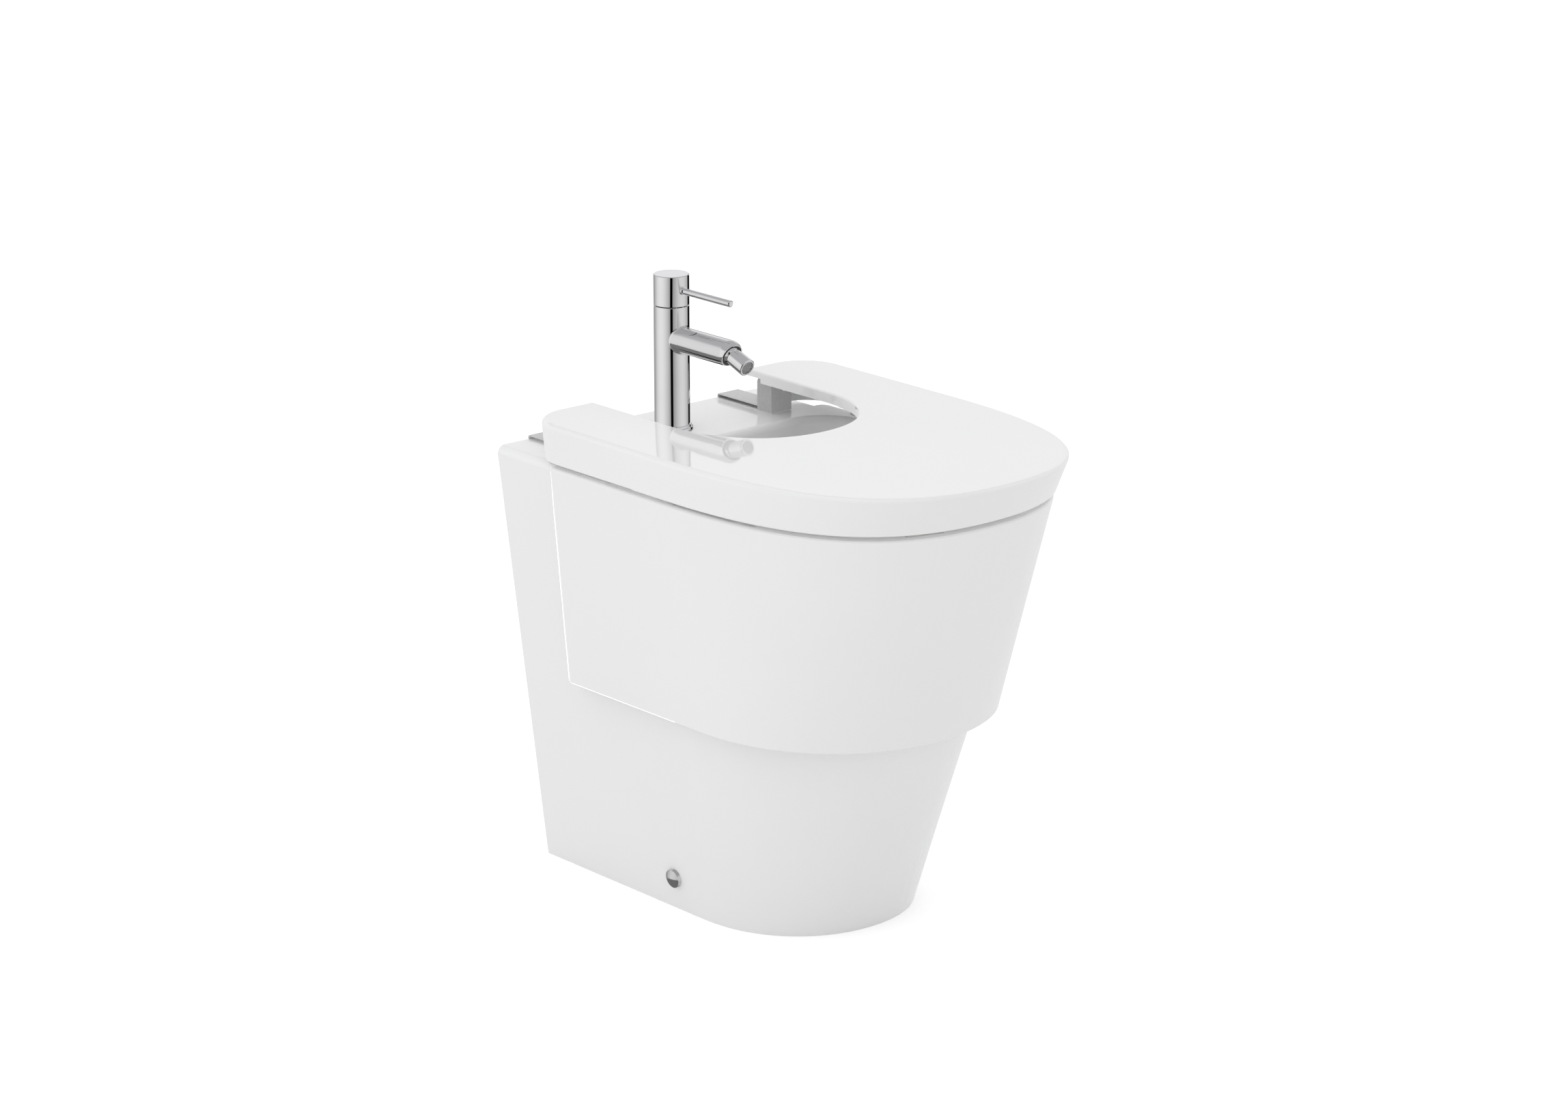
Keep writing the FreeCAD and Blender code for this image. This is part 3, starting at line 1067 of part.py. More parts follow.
def waste_nut():
    """Ring nut with finger lugs."""
    top_z = BASIN_UNDER_Z - WASTE_SEAL_THICKNESS
    low_z = top_z - WASTE_NUT_HEIGHT
    body = upright(WASTE_NUT_RADIUS, 0, WASTE_Y, low_z, top_z)
    for i in range(WASTE_NUT_LUGS):
        angle = 2 * math.pi * i / WASTE_NUT_LUGS
        body = body.fuse(upright(WASTE_LUG_RADIUS, WASTE_NUT_RADIUS * math.cos(angle),
                                 WASTE_Y + WASTE_NUT_RADIUS * math.sin(angle), low_z, top_z))
    return body.cut(upright(WASTE_TUBE_RADIUS, 0, WASTE_Y, low_z, top_z))


def waste_plug():
    """Domed disc on a guided stem, shown closed."""
    disc_z = BASIN_FLOOR_Z + PLUG_SEAT_GAP + PLUG_SEAL_THICKNESS
    disc = upright(PLUG_RADIUS, 0, WASTE_Y, disc_z, disc_z + PLUG_THICKNESS)
    radius = (PLUG_RADIUS ** 2 + PLUG_DOME ** 2) / (2 * PLUG_DOME)
    dome = Part.makeSphere(radius, V(0, WASTE_Y, disc_z + PLUG_THICKNESS + PLUG_DOME - radius))
    crown = upright(PLUG_RADIUS, 0, WASTE_Y, disc_z, disc_z + PLUG_THICKNESS + PLUG_DOME)
    disc = disc.fuse(crown.common(dome))
    spigot = upright(PLUG_SEAL_BORE, 0, WASTE_Y, disc_z - PLUG_SEAL_THICKNESS - PLUG_SPIGOT_END, disc_z)
    stem = upright(PLUG_STEM_RADIUS, 0, WASTE_Y, SPIDER_Z - PLUG_STEM_TAIL, disc_z)
    return disc.fuse([spigot, stem]).removeSplitter()


def plug_seal():
    low_z = BASIN_FLOOR_Z + PLUG_SEAT_GAP
    return upright_tube(PLUG_SEAL_RADIUS, PLUG_SEAL_BORE, 0, WASTE_Y, low_z, low_z + PLUG_SEAL_THICKNESS)


def tailpiece():
    """Outlet pipe: a spigot inside the waste body and a free end for the trap."""
    shoulder_z = WASTE_TUBE_BOTTOM_Z - TAIL_NUT_HEIGHT / 2
    pipe = upright(TAIL_RADIUS, 0, WASTE_Y, shoulder_z - TAIL_FREE_LENGTH, shoulder_z)
    pipe = pipe.fuse(upright(TAIL_SPIGOT_RADIUS, 0, WASTE_Y, shoulder_z, WASTE_TUBE_BOTTOM_Z + TAIL_INSERT))
    return pipe.cut(upright(TAIL_SPIGOT_RADIUS - TAIL_WALL, 0, WASTE_Y, LIP_Z - FAR, BASIN_FLOOR_Z))


def tail_nut():
    low_z = WASTE_TUBE_BOTTOM_Z - TAIL_NUT_HEIGHT / 2
    high_z = WASTE_TUBE_BOTTOM_Z + TAIL_NUT_HEIGHT / 2
    body = upright(TAIL_NUT_RADIUS, 0, WASTE_Y, low_z, high_z)
    body = body.cut(upright(TAIL_SPIGOT_RADIUS, 0, WASTE_Y, low_z, high_z))
    return body.cut(upright(WASTE_TUBE_RADIUS, 0, WASTE_Y, WASTE_TUBE_BOTTOM_Z, high_z))


# ---- floor fixing (right side) ----------------------------------------------
def floor_bracket():
    """Angle behind the side wall, screwed to the floor through its foot."""
    wall_x = SHELL_WALL + ANGLE_GAP
    y0 = FIXING_Y - ANGLE_DEPTH / 2
    low_x, high_x = side_half_width(0) - wall_x, side_half_width(ANGLE_HEIGHT) - wall_x
    knee_x = side_half_width(ANGLE_SHEET) - wall_x - ANGLE_SHEET
    corners = [V(low_x, y0, 0), V(high_x, y0, ANGLE_HEIGHT), V(high_x - ANGLE_SHEET, y0, ANGLE_HEIGHT),
               V(knee_x, y0, ANGLE_SHEET), V(ANGLE_FOOT_X, y0, ANGLE_SHEET), V(ANGLE_FOOT_X, y0, 0)]
    profile = Part.Face(Part.makePolygon(corners + corners[:1]))
    body = profile.extrude(V(0, ANGLE_DEPTH, 0))
    anchor = upright(ANCHOR_HOLE_RADIUS, ANCHOR_X, FIXING_Y, 0, ANGLE_SHEET)
    return body.cut(anchor).cut(side_rod(SIDE_SCREW_RADIUS, -SHELL_WALL - SIDE_SCREW_GRIP - OVERCUT, 0))


def side_screw():
    head_start = SIDE_WASHER_THICKNESS
    head = side_rod(SIDE_SCREW_HEAD_RADIUS, head_start, head_start + SIDE_SCREW_HEAD_HEIGHT)
    shank = side_rod(SIDE_SCREW_RADIUS, -SHELL_WALL - SIDE_SCREW_GRIP, head_start)
    return head.fuse(shank)


def side_washer():
    disc = side_rod(SIDE_WASHER_RADIUS, 0, SIDE_WASHER_THICKNESS)
    return disc.cut(side_rod(SIDE_SCREW_RADIUS, 0, SIDE_WASHER_THICKNESS))


def side_cap():
    """Domed snap-on cap over the side screw."""
    dome_rise = SIDE_CAP_HEIGHT - SIDE_CAP_CYLINDER
    radius = (SIDE_CAP_RADIUS ** 2 + dome_rise ** 2) / (2 * dome_rise)
    centre = side_point(FIXING_Z) + SIDE_OUT * (SIDE_CAP_HEIGHT - radius)
    outside = side_rod(SIDE_CAP_RADIUS, 0, SIDE_CAP_HEIGHT).common(Part.makeSphere(radius, centre))
    inner = side_rod(SIDE_CAP_RADIUS - SIDE_CAP_WALL, -OVERCUT, SIDE_CAP_HEIGHT)
    inside = inner.common(Part.makeSphere(radius - SIDE_CAP_WALL, centre))
    return outside.cut(inside)


# ---- every node -------------------------------------------------------------
def build():
    nodes = {
        "ceramic_body": ceramic_body(),
        "cover": cover(),
        "cover_bumpers": cover_bumpers(),
        "hinge_bolts": pair(hinge_bolt()),
        "hinge_rubbers": pair(hinge_rubber()),
        "hinge_washers": pair(hinge_washer()),
        "hinge_nuts": pair(hinge_nut()),
        "bracket_screws": bracket_screws(),
        "mixer_body": mixer_body(),
        "mixer_spout": mixer_spout(),
        "mixer_base_ring": mixer_base_ring(),
        "mixer_gasket": mixer_gasket(),
        "mixer_stud": mixer_stud(),
        "mixer_clamp_rubber": mixer_clamp_rubber(),
        "mixer_clamp_plate": mixer_clamp_plate(),
        "mixer_stud_nut": mixer_stud_nut(),
        "cartridge": cartridge(),
        "cartridge_nut": cartridge_nut(),
        "cartridge_carrier": cartridge_carrier(),
        "cartridge_stem": cartridge_stem(),
        "handle_cap": handle_cap(),
        "handle_pin": handle_pin(),
        "handle_grub_screw": handle_grub_screw(),
        "nozzle_seat": nozzle_seat(),
        "nozzle_ball_seal": nozzle_ball_seal(),
        "nozzle_ball": nozzle_ball(),
        "nozzle_sleeve": nozzle_sleeve(),
        "aerator": aerator(),
        "aerator_mesh": aerator_mesh(),
        "waste_body": waste_body(),
        "waste_seals": waste_seals(),
        "waste_nut": waste_nut(),
        "waste_plug": waste_plug(),
        "plug_seal": plug_seal(),
        "tailpiece": tailpiece(),
        "tail_nut": tail_nut(),
        "side_screws": pair(side_screw()),
        "side_washers": pair(side_washer()),
        "side_caps": pair(side_cap()),
    }
    handed = {"hinge_block": hinge_block(), "hinge_base": hinge_base(), "hinge_damper": hinge_damper(),
              "hinge_pin": hinge_pin(), "cover_bracket": cover_bracket(), "floor_bracket": floor_bracket()}
    for name, shape in handed.items():
        for side, sign in SIDES:
            nodes[name + "_" + side] = shape if sign > 0 else mirrored(shape)
    return nodes


os.makedirs("parts", exist_ok=True)
for node_name, node_shape in build().items():
    node_shape.exportStep(os.path.join("parts", node_name + ".step"))
    state = "ok" if node_shape.isValid() else "INVALID"
    print(node_name, len(node_shape.Solids), round(node_shape.Volume), state)
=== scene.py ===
import bmesh
import bpy
import json
import math
from mathutils import Euler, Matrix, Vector


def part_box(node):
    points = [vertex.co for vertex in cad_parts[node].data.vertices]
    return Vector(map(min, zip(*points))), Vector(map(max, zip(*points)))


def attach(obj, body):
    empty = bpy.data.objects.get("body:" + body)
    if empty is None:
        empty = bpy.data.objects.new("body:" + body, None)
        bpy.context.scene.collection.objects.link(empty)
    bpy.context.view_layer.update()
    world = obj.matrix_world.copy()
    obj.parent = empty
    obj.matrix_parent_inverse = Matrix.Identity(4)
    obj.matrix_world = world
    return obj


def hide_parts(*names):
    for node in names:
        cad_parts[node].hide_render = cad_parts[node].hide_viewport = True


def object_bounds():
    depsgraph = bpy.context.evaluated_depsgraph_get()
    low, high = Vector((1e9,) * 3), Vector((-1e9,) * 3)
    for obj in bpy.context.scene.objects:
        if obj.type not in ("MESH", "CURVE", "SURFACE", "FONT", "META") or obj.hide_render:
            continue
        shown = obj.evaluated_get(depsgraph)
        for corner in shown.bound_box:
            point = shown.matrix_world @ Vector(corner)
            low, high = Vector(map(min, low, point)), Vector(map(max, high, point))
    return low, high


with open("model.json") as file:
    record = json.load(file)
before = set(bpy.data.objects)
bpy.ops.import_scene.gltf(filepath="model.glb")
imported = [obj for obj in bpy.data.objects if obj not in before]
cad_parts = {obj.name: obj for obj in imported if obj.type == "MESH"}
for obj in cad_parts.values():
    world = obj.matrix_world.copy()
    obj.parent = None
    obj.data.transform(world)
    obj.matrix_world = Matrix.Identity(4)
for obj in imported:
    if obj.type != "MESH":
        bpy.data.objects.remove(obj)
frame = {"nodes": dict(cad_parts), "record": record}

CAD_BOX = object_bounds()
NODES = frame["nodes"]
RECORD = frame["record"]

# ---- camera and studio, metres and degrees ----------------------------------
CAMERA_PLACE = (-2.600, -2.926, 1.522)
CAMERA_AZIMUTH = -41.27
CAMERA_ELEVATION = 16.81
CAMERA_LENS = 101.6              # millimetres
CAMERA_SENSOR = 36.0             # millimetres
CAMERA_CLIP = 200.0
FLOOR_HALF = 40.0
FLOOR_DIFFUSE = 0.86
FLOOR_GLOW = 0.34                # camera rays only: lifts the lit floor to white

SKY_LEFT = 1.15                  # level of the light on the camera's left
SKY_RIGHT = 0.94                 # and on its right
SKY_REAR = 0.06                  # taken off on the far side from the camera
SKY_FRONT = 0.21                 # taken off on the camera's own side
SKY_ZENITH = 0.96                # share of the level straight above
SOFTBOX_SIZE = 2.4
SOFTBOXES = (                    # name, azimuth, elevation, distance, watts
    ("softbox_left", -78.0, 42.0, 3.2, 6.0),
)

# Chrome mirrors a room of its own: a grey wall with two soft panels and two black strips, a
# ceiling and a ground. Bearings are degrees from the camera. An _EDGE holds the ray's height
# (z of its direction) where a zone starts and where it is full.
WALL_LEVEL = 0.38
SOFT_PANELS = (                  # bearing of the middle, half width, brightness of the middle
    (-72.0, 70.0, 0.87),
    (72.0, 64.0, 0.74),
)
PANEL_RIM = 0.30                 # brightness that a panel falls to at its rim
BLACK_STRIPS = ((-5.0, 7.0), (130.0, 158.0))
STRIP_EDGE = 5.0                 # degrees over which a strip fades into the wall
CEILING_LOW = 0.86
CEILING_TOP = 0.46
CEILING_FADE = (0.30, 0.62)      # height of the ray where it darkens from low to top
CEILING_BLUE = 1.015
CEILING_EDGE = (0.36, 0.50)
LOW_CEILING_EDGE = (0.10, 0.24)  # the ceiling comes lower on the far side
FAR_SIDE = (-0.70, -0.88)        # share of the ray that points at the camera
GROUND_RIGHT = 0.62
GROUND_LEFT = 0.19
GROUND_EDGE = (-0.36, -0.46)
GROUND_SPLIT = (0.45, 0.15)      # share of the ray that points to the camera's right

SOFT_ROOM = 0.84                 # what glaze and satin metal mirror round about
SOFT_ROOM_TOP = 0.40             # and overhead
SOFT_TOP_EDGE = (0.36, 0.55)
SOFT_NEAR_EDGE = (0.0, 0.15)     # the top comes lower on the camera's side
SOFT_NEAR_SIDE = (0.1, 0.4)
# Only these show in mirror images, so the stripes of the chrome run down to its base.
MIRRORED = ("mixer_", "handle_", "nozzle_", "aerator", "hinge_block_right", "hinge_base_right")

CARD_CENTRE = (-0.10, 0.18)      # reflector on the floor behind, seen by gloss alone
CARD_RADII = (0.05, 1.2)
CARD_AZIMUTHS = (139.0, 188.0)
CARD_HEIGHT = 0.001
CARD_STEPS = 24
CARD_STRENGTH = 2.4
FLAG_BOX = ((-0.12, -0.22), (0.16, 0.24))    # plate that keeps the card out of the basin's gloss
FLAG_HEIGHT = 0.27

# ---- aerator, metres --------------------------------------------------------
NOZZLE_PITCH = 20.0              # degrees below horizontal at rest
WIRE_RADIUS = 0.00017
WIRE_PITCH = 0.00105
WIRE_STEPS = 8                   # points of a wire along two pitches
WIRE_SWING = 0.8                 # how far a wire weaves, as a share of its radius
INSERT_PROFILE = (               # share of the radius, depth behind the face
    (0.97, 0.0), (0.76, 0.0), (0.74, 0.0005), (0.60, 0.0005),
    (0.54, 0.0001), (0.30, 0.0001), (0.24, 0.0006),
)
INSERT_SETBACK = 1.85            # wire radii from the weave's middle to the insert's face
INSERT_SPIN = 48
INSERT_WALL = 0.0001

# ---- shading ----------------------------------------------------------------
WELD_DISTANCE = 0.000002
SHARP_ANGLE = 33.0               # degrees: flatter edges are shaded smooth


# ---- node helpers -----------------------------------------------------------
def add_node(tree, kind, inputs=None, **settings):
    """New shader node. Inputs are constants or sockets to link, by name or number."""
    made = tree.nodes.new(kind)
    for name, value in settings.items():
        setattr(made, name, value)
    for name, value in (inputs or {}).items():
        socket = made.inputs[name]
        if isinstance(value, bpy.types.NodeSocket):
            tree.links.new(value, socket)
        else:
            socket.default_value = value
    return made


def math_node(tree, operation, a, b=0.0):
    return add_node(tree, "ShaderNodeMath", {0: a, 1: b}, operation=operation).outputs[0]


def grey(level):
    return (level, level, level, 1.0)


def cool(level):
    return (level, level, level * CEILING_BLUE, 1.0)


def blend(tree, factor, first, second):
    """Colour that goes from first to second as factor goes from 0 to 1."""
    mixed = add_node(tree, "ShaderNodeMix", {"Factor": factor, 6: first, 7: second}, data_type="RGBA")
    return mixed.outputs[2]


def ramp(tree, factor, stops):
    made = add_node(tree, "ShaderNodeValToRGB", {0: factor})
    elements = made.color_ramp.elements
    while len(elements) < len(stops):
        elements.new(1.0)
    for element, (place, color) in zip(elements, stops):
        element.position = place
        element.color = (*color, 1.0)
    return made.outputs["Color"]


def object_coords(tree, stretch=(1.0, 1.0, 1.0)):
    place = add_node(tree, "ShaderNodeTexCoord").outputs["Object"]
    return add_node(tree, "ShaderNodeMapping", {"Vector": place, "Scale": stretch}).outputs[0]


def noise(tree, scale, detail=2.0, stretch=(1.0, 1.0, 1.0), roughness=0.5):
    return add_node(tree, "ShaderNodeTexNoise", {
        "Vector": object_coords(tree, stretch), "Scale": scale, "Detail": detail,
        "Roughness": roughness}).outputs["Fac"]


def remap(tree, value, low, high, start=0.0, end=1.0):
    """Low to high as value goes from start to end."""
    return add_node(tree, "ShaderNodeMapRange", {
        "Value": value, "From Min": start, "From Max": end, "To Min": low, "To Max": high}).outputs[0]


def step(tree, value, edge):
    """Smooth step from 0 to 1 as value goes over the edge, from its start to its end."""
    start, end = edge
    stepped = add_node(tree, "ShaderNodeMapRange", {
        "Value": value, "From Min": start, "From Max": end}, interpolation_type="SMOOTHSTEP")
    return stepped.outputs[0]


def tint(tree, value, color_a, color_b):
    return ramp(tree, value, ((0.3, color_a), (0.7, color_b)))


def bump(tree, height, distance, strength=1.0):
    return add_node(tree, "ShaderNodeBump", {
        "Height": height, "Distance": distance, "Strength": strength}).outputs[0]


def new_material(name):
    """Material with an empty node tree, and that tree."""
    material = bpy.data.materials.new(name)
    material.use_nodes = True
    material.node_tree.nodes.clear()
    return material, material.node_tree


def surface(name, constants, build):
    """Principled material: constants on its own sockets, and links made by build(tree)."""
    material, tree = new_material(name)
    shader = add_node(tree, "ShaderNodeBsdfPrincipled", constants)
    for socket, value in build(tree).items():
        tree.links.new(value, shader.inputs[socket])
    add_node(tree, "ShaderNodeOutputMaterial", {"Surface": shader.outputs[0]})
    return material


# ---- materials, one for each slot -------------------------------------------
def glaze():
    """White vitreous glaze: near-mirror, with the faint waviness of a poured coat."""
    def build(tree):
        wave = noise(tree, 14.0, 1.5)
        grain = noise(tree, 260.0, 2.0)
        cloud = noise(tree, 5.0, 3.0)
        return {"Base Color": tint(tree, cloud, (0.865, 0.865, 0.87), (0.88, 0.88, 0.88)),
                "Roughness": remap(tree, grain, 0.02, 0.05),
                "Normal": bump(tree, wave, 0.0009, 0.12)}
    return surface("glazed_ceramic", {"IOR": 1.5, "Coat Weight": 0.2, "Coat Roughness": 0.03}, build)


def moulded_cover():
    """Hard white thermoset, polished, with a trace of flow in the moulding."""
    def build(tree):
        flow = noise(tree, 9.0, 2.0, (1.0, 0.4, 1.0))
        return {"Base Color": tint(tree, flow, (0.865, 0.865, 0.87), (0.88, 0.88, 0.88)),
                "Roughness": remap(tree, noise(tree, 320.0, 2.0), 0.02, 0.05),
                "Normal": bump(tree, noise(tree, 22.0, 1.0), 0.0004, 0.06)}
    return surface("cover_plastic", {"IOR": 1.58, "Coat Weight": 0.5, "Coat Roughness": 0.05}, build)


def polished_chrome():
    """Mirror finish: no roughness, so it alone mirrors the panels, with a trace of polishing marks."""
    def build(tree):
        fine = noise(tree, 900.0, 2.0, (1.0, 1.0, 0.15))
        return {"Base Color": tint(tree, noise(tree, 30.0, 2.0), (0.84, 0.84, 0.85), (0.87, 0.87, 0.88)),
                "Normal": bump(tree, fine, 0.00002, 0.05)}
    return surface("chrome", {"Metallic": 1.0, "Roughness": 0.0}, build)


def satin_metal():
    """Bead-blasted and satin-plated zinc and sheet."""
    def build(tree):
        grain = noise(tree, 2600.0, 3.0)
        lines = noise(tree, 700.0, 2.0, (1.0, 0.06, 1.0))
        return {"Base Color": tint(tree, lines, (0.74, 0.74, 0.75), (0.80, 0.80, 0.81)),
                "Roughness": remap(tree, grain, 0.12, 0.20),
                "Normal": bump(tree, grain, 0.00003, 0.3)}
    return surface("satin_metal", {"Metallic": 1.0}, build)


def brushed_cap():
    """Domed caps, polished until they mirror the panels, with fine turning marks."""
    def build(tree):
        turned = noise(tree, 1500.0, 2.0, (0.1, 1.0, 1.0))
        return {"Base Color": tint(tree, turned, (0.64, 0.64, 0.65), (0.72, 0.72, 0.72)),
                "Normal": bump(tree, turned, 0.00003, 0.12)}
    return surface("side_cap_metal", {"Metallic": 1.0, "Roughness": 0.0}, build)


def hinge_metal(name, dark, light):
    """Painted zinc and sheet of the hinges, more matt than mirror."""
    def build(tree):
        grain = noise(tree, 2400.0, 3.0)
        return {"Base Color": tint(tree, noise(tree, 300.0, 2.0), dark, light),
                "Roughness": remap(tree, grain, 0.36, 0.46),
                "Normal": bump(tree, grain, 0.00005, 0.5)}
    return surface(name, {"Metallic": 0.25, "IOR": 1.5}, build)


def machined_steel():
    def build(tree):
        turned = noise(tree, 1400.0, 2.0, (0.2, 0.2, 1.0))
        return {"Base Color": tint(tree, turned, (0.52, 0.52, 0.53), (0.64, 0.64, 0.65)),
                "Roughness": remap(tree, turned, 0.22, 0.38),
                "Normal": bump(tree, turned, 0.00005, 0.4)}
    return surface("steel_fasteners", {"Metallic": 1.0}, build)


def machined_brass():
    def build(tree):
        turned = noise(tree, 1200.0, 2.0, (0.2, 0.2, 1.0))
        return {"Base Color": tint(tree, noise(tree, 60.0, 4.0), (0.68, 0.49, 0.20), (0.80, 0.62, 0.30)),
                "Roughness": remap(tree, turned, 0.20, 0.36),
                "Normal": bump(tree, turned, 0.00006, 0.4)}
    return surface("brass", {"Metallic": 1.0}, build)


def mesh_wire():
    def build(tree):
        shade = noise(tree, 1500.0, 2.0)
        return {"Base Color": tint(tree, shade, (0.62, 0.62, 0.63), (0.78, 0.78, 0.79)),
                "Roughness": remap(tree, shade, 0.2, 0.35)}
    return surface("steel_mesh", {"Metallic": 1.0}, build)


def rubber(name, dark, light, rough, subsurface=0.0):
    def build(tree):
        grain = noise(tree, 1800.0, 3.0)
        return {"Base Color": tint(tree, noise(tree, 120.0, 3.0), dark, light),
                "Roughness": remap(tree, grain, rough - 0.08, rough + 0.08),
                "Normal": bump(tree, grain, 0.00008, 0.6)}
    return surface(name, {"Subsurface Weight": subsurface, "Subsurface Scale": 0.002}, build)


def moulded_plastic(name, dark, light, rough):
    """Injection-moulded plastic with a fine spark-eroded grain."""
    def build(tree):
        grain = noise(tree, 2200.0, 4.0)
        return {"Base Color": tint(tree, noise(tree, 90.0, 2.0), dark, light),
                "Roughness": remap(tree, grain, rough - 0.06, rough + 0.06),
                "Normal": bump(tree, grain, 0.00007, 0.6)}
    return surface(name, {}, build)


def make_materials():
    return {
        "glazed_ceramic": glaze(),
        "cover_plastic": moulded_cover(),
        "soft_rubber": rubber("soft_rubber", (0.66, 0.66, 0.65), (0.74, 0.74, 0.73), 0.5, 0.3),
        "black_rubber": rubber(
            "black_rubber", (0.018, 0.018, 0.018), (0.035, 0.035, 0.035), 0.62),
        "steel_fasteners": machined_steel(),
        "satin_metal": satin_metal(),
        "side_caps": brushed_cap(),
        "hinge_block": hinge_metal("hinge_block_satin", (0.46, 0.46, 0.46), (0.50, 0.50, 0.50)),
        "hinge_base": hinge_metal("hinge_base_satin", (0.62, 0.62, 0.62), (0.68, 0.68, 0.68)),
        "chrome": polished_chrome(),
        "brass": machined_brass(),
        "steel_mesh": mesh_wire(),
        "valve_plastic": moulded_plastic(
            "valve_plastic", (0.018, 0.018, 0.02), (0.035, 0.035, 0.038), 0.4),
        "bracket_plastic": moulded_plastic(
            "bracket_plastic", (0.74, 0.74, 0.72), (0.82, 0.82, 0.80), 0.5),
    }


def finish_of(part, materials):
    """Material of a CAD node: its slot's, but hinges and side caps have finishes of their own."""
    for prefix in ("hinge_block", "hinge_base", "side_caps"):
        if part["node"].startswith(prefix):
            return materials[prefix]
    return materials[part["material_slot"]]


def smoothing_tree():
    """Geometry nodes: weld the faces' shared edges and shade smooth below SHARP_ANGLE."""
    tree = bpy.data.node_groups.new("smooth_by_angle", "GeometryNodeTree")
    tree.interface.new_socket("Geometry", in_out="INPUT", socket_type="NodeSocketGeometry")
    tree.interface.new_socket("Geometry", in_out="OUTPUT", socket_type="NodeSocketGeometry")
    start = add_node(tree, "NodeGroupInput").outputs[0]
    welded = add_node(tree, "GeometryNodeMergeByDistance", {
        "Geometry": start, "Distance": WELD_DISTANCE})
    angle = add_node(tree, "GeometryNodeInputMeshEdgeAngle").outputs["Unsigned Angle"]
    sharp = math_node(tree, "GREATER_THAN", angle, math.radians(SHARP_ANGLE))
    smooth = add_node(tree, "GeometryNodeSetShadeSmooth", {
        "Geometry": welded.outputs[0], "Shade Smooth": True}, domain="FACE")
    split = add_node(tree, "GeometryNodeSetShadeSmooth", {
        "Geometry": smooth.outputs[0], "Selection": sharp, "Shade Smooth": False}, domain="EDGE")
    add_node(tree, "NodeGroupOutput", {0: split.outputs[0]})
    return tree


def dress_nodes(materials):
    """Give every CAD node its finish, smooth shading and, if MIRRORED, a place in mirror images."""
    tree = smoothing_tree()
    for part in RECORD["subparts"]:
        node = NODES[part["node"]]
        node.data.materials.clear()
        node.data.materials.append(finish_of(part, materials))
        node.modifiers.new("smooth_by_angle", "NODES").node_group = tree
        weighted = node.modifiers.new("weighted_normals", "WEIGHTED_NORMAL")
        weighted.keep_sharp = True
        node.visible_glossy = part["node"].startswith(MIRRORED)


# ---- pieces -----------------------------------------------------------------
def place_piece(piece, body, node, material):
    """Put a piece on its body, and in the place of a CAD node where it replaces one."""
    bpy.context.scene.collection.objects.link(piece)
    piece.data.materials.append(material)
    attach(piece, body)
    if node:
        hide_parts(node)


def disc_axes(node, pitch):
    """Centre, radius and the three axes of a disc that faces along the nozzle."""
    low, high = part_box(node)
    low, high = Vector(low), Vector(high)
    facing = Vector((0.0, -math.cos(pitch), -math.sin(pitch)))
    side = Vector((1.0, 0.0, 0.0))
    return (low + high) / 2, (high.x - low.x) / 2, facing, side, facing.cross(side)


def make_weave(materials):
    """Woven wire cloth over the aerator."""
    centre, radius, facing, side, rise = disc_axes("aerator_mesh", math.radians(NOZZLE_PITCH))
    data = bpy.data.curves.new("aerator_weave", "CURVE")
    data.dimensions = "3D"
    data.bevel_depth = WIRE_RADIUS
    data.bevel_resolution = 1
    count = int(radius / WIRE_PITCH)
    for turn in (1, -1):
        along = (side + rise * turn).normalized()
        across = (side * turn - rise).normalized()
        for k in range(-count, count + 1):
            reach = math.sqrt(max(radius ** 2 - (k * WIRE_PITCH) ** 2, 0.0)) - WIRE_RADIUS
            steps = max(2, int(WIRE_STEPS * reach / WIRE_PITCH))
            wire = data.splines.new("POLY")
            wire.points.add(steps)
            for i, point in enumerate(wire.points):
                run = reach * (2 * i / steps - 1)
                wave = WIRE_SWING * WIRE_RADIUS * turn * math.cos(math.pi * (run / WIRE_PITCH + k))
                spot = centre + along * run + across * (k * WIRE_PITCH) + facing * wave
                point.co = (*spot, 1.0)
    weave = bpy.data.objects.new("aerator_weave", data)
    place_piece(weave, "nozzle", "aerator_mesh", materials["steel_mesh"])


def make_insert(materials):
    """Dark ringed insert behind the weave, a thin disc spun from INSERT_PROFILE."""
    centre, radius, facing, side, rise = disc_axes("aerator_mesh", math.radians(NOZZLE_PITCH))
    shape = bmesh.new()
    rows = []
    for share, depth in INSERT_PROFILE:
        ring = []
        for i in range(INSERT_SPIN):
            angle = math.tau * i / INSERT_SPIN
            reach = (radius - WIRE_RADIUS) * share
            spot = side * math.cos(angle) * reach + rise * math.sin(angle) * reach
            setback = INSERT_SETBACK * WIRE_RADIUS + depth
            ring.append(shape.verts.new(centre + spot - facing * setback))
        rows.append(ring)
    for outer, inner in zip(rows, rows[1:]):
        for i in range(INSERT_SPIN):
            j = (i + 1) % INSERT_SPIN
            shape.faces.new((outer[i], outer[j], inner[j], inner[i]))
    shape.faces.new(rows[-1])
    bmesh.ops.recalc_face_normals(shape, faces=shape.faces)
    mesh = bpy.data.meshes.new("aerator_insert")
    shape.to_mesh(mesh)
    shape.free()
    insert = bpy.data.objects.new("aerator_insert", mesh)
    place_piece(insert, "nozzle", None, materials["valve_plastic"])
    solid = insert.modifiers.new("wall", "SOLIDIFY")
    solid.thickness = INSERT_WALL


# ---- studio -----------------------------------------------------------------
def direction(azimuth, elevation):
    """Unit vector: azimuth 0 is the front, 90 the right of the object."""
    a, e = math.radians(azimuth), math.radians(elevation)
    return Vector((math.sin(a) * math.cos(e), -math.cos(a) * math.cos(e), math.sin(e)))


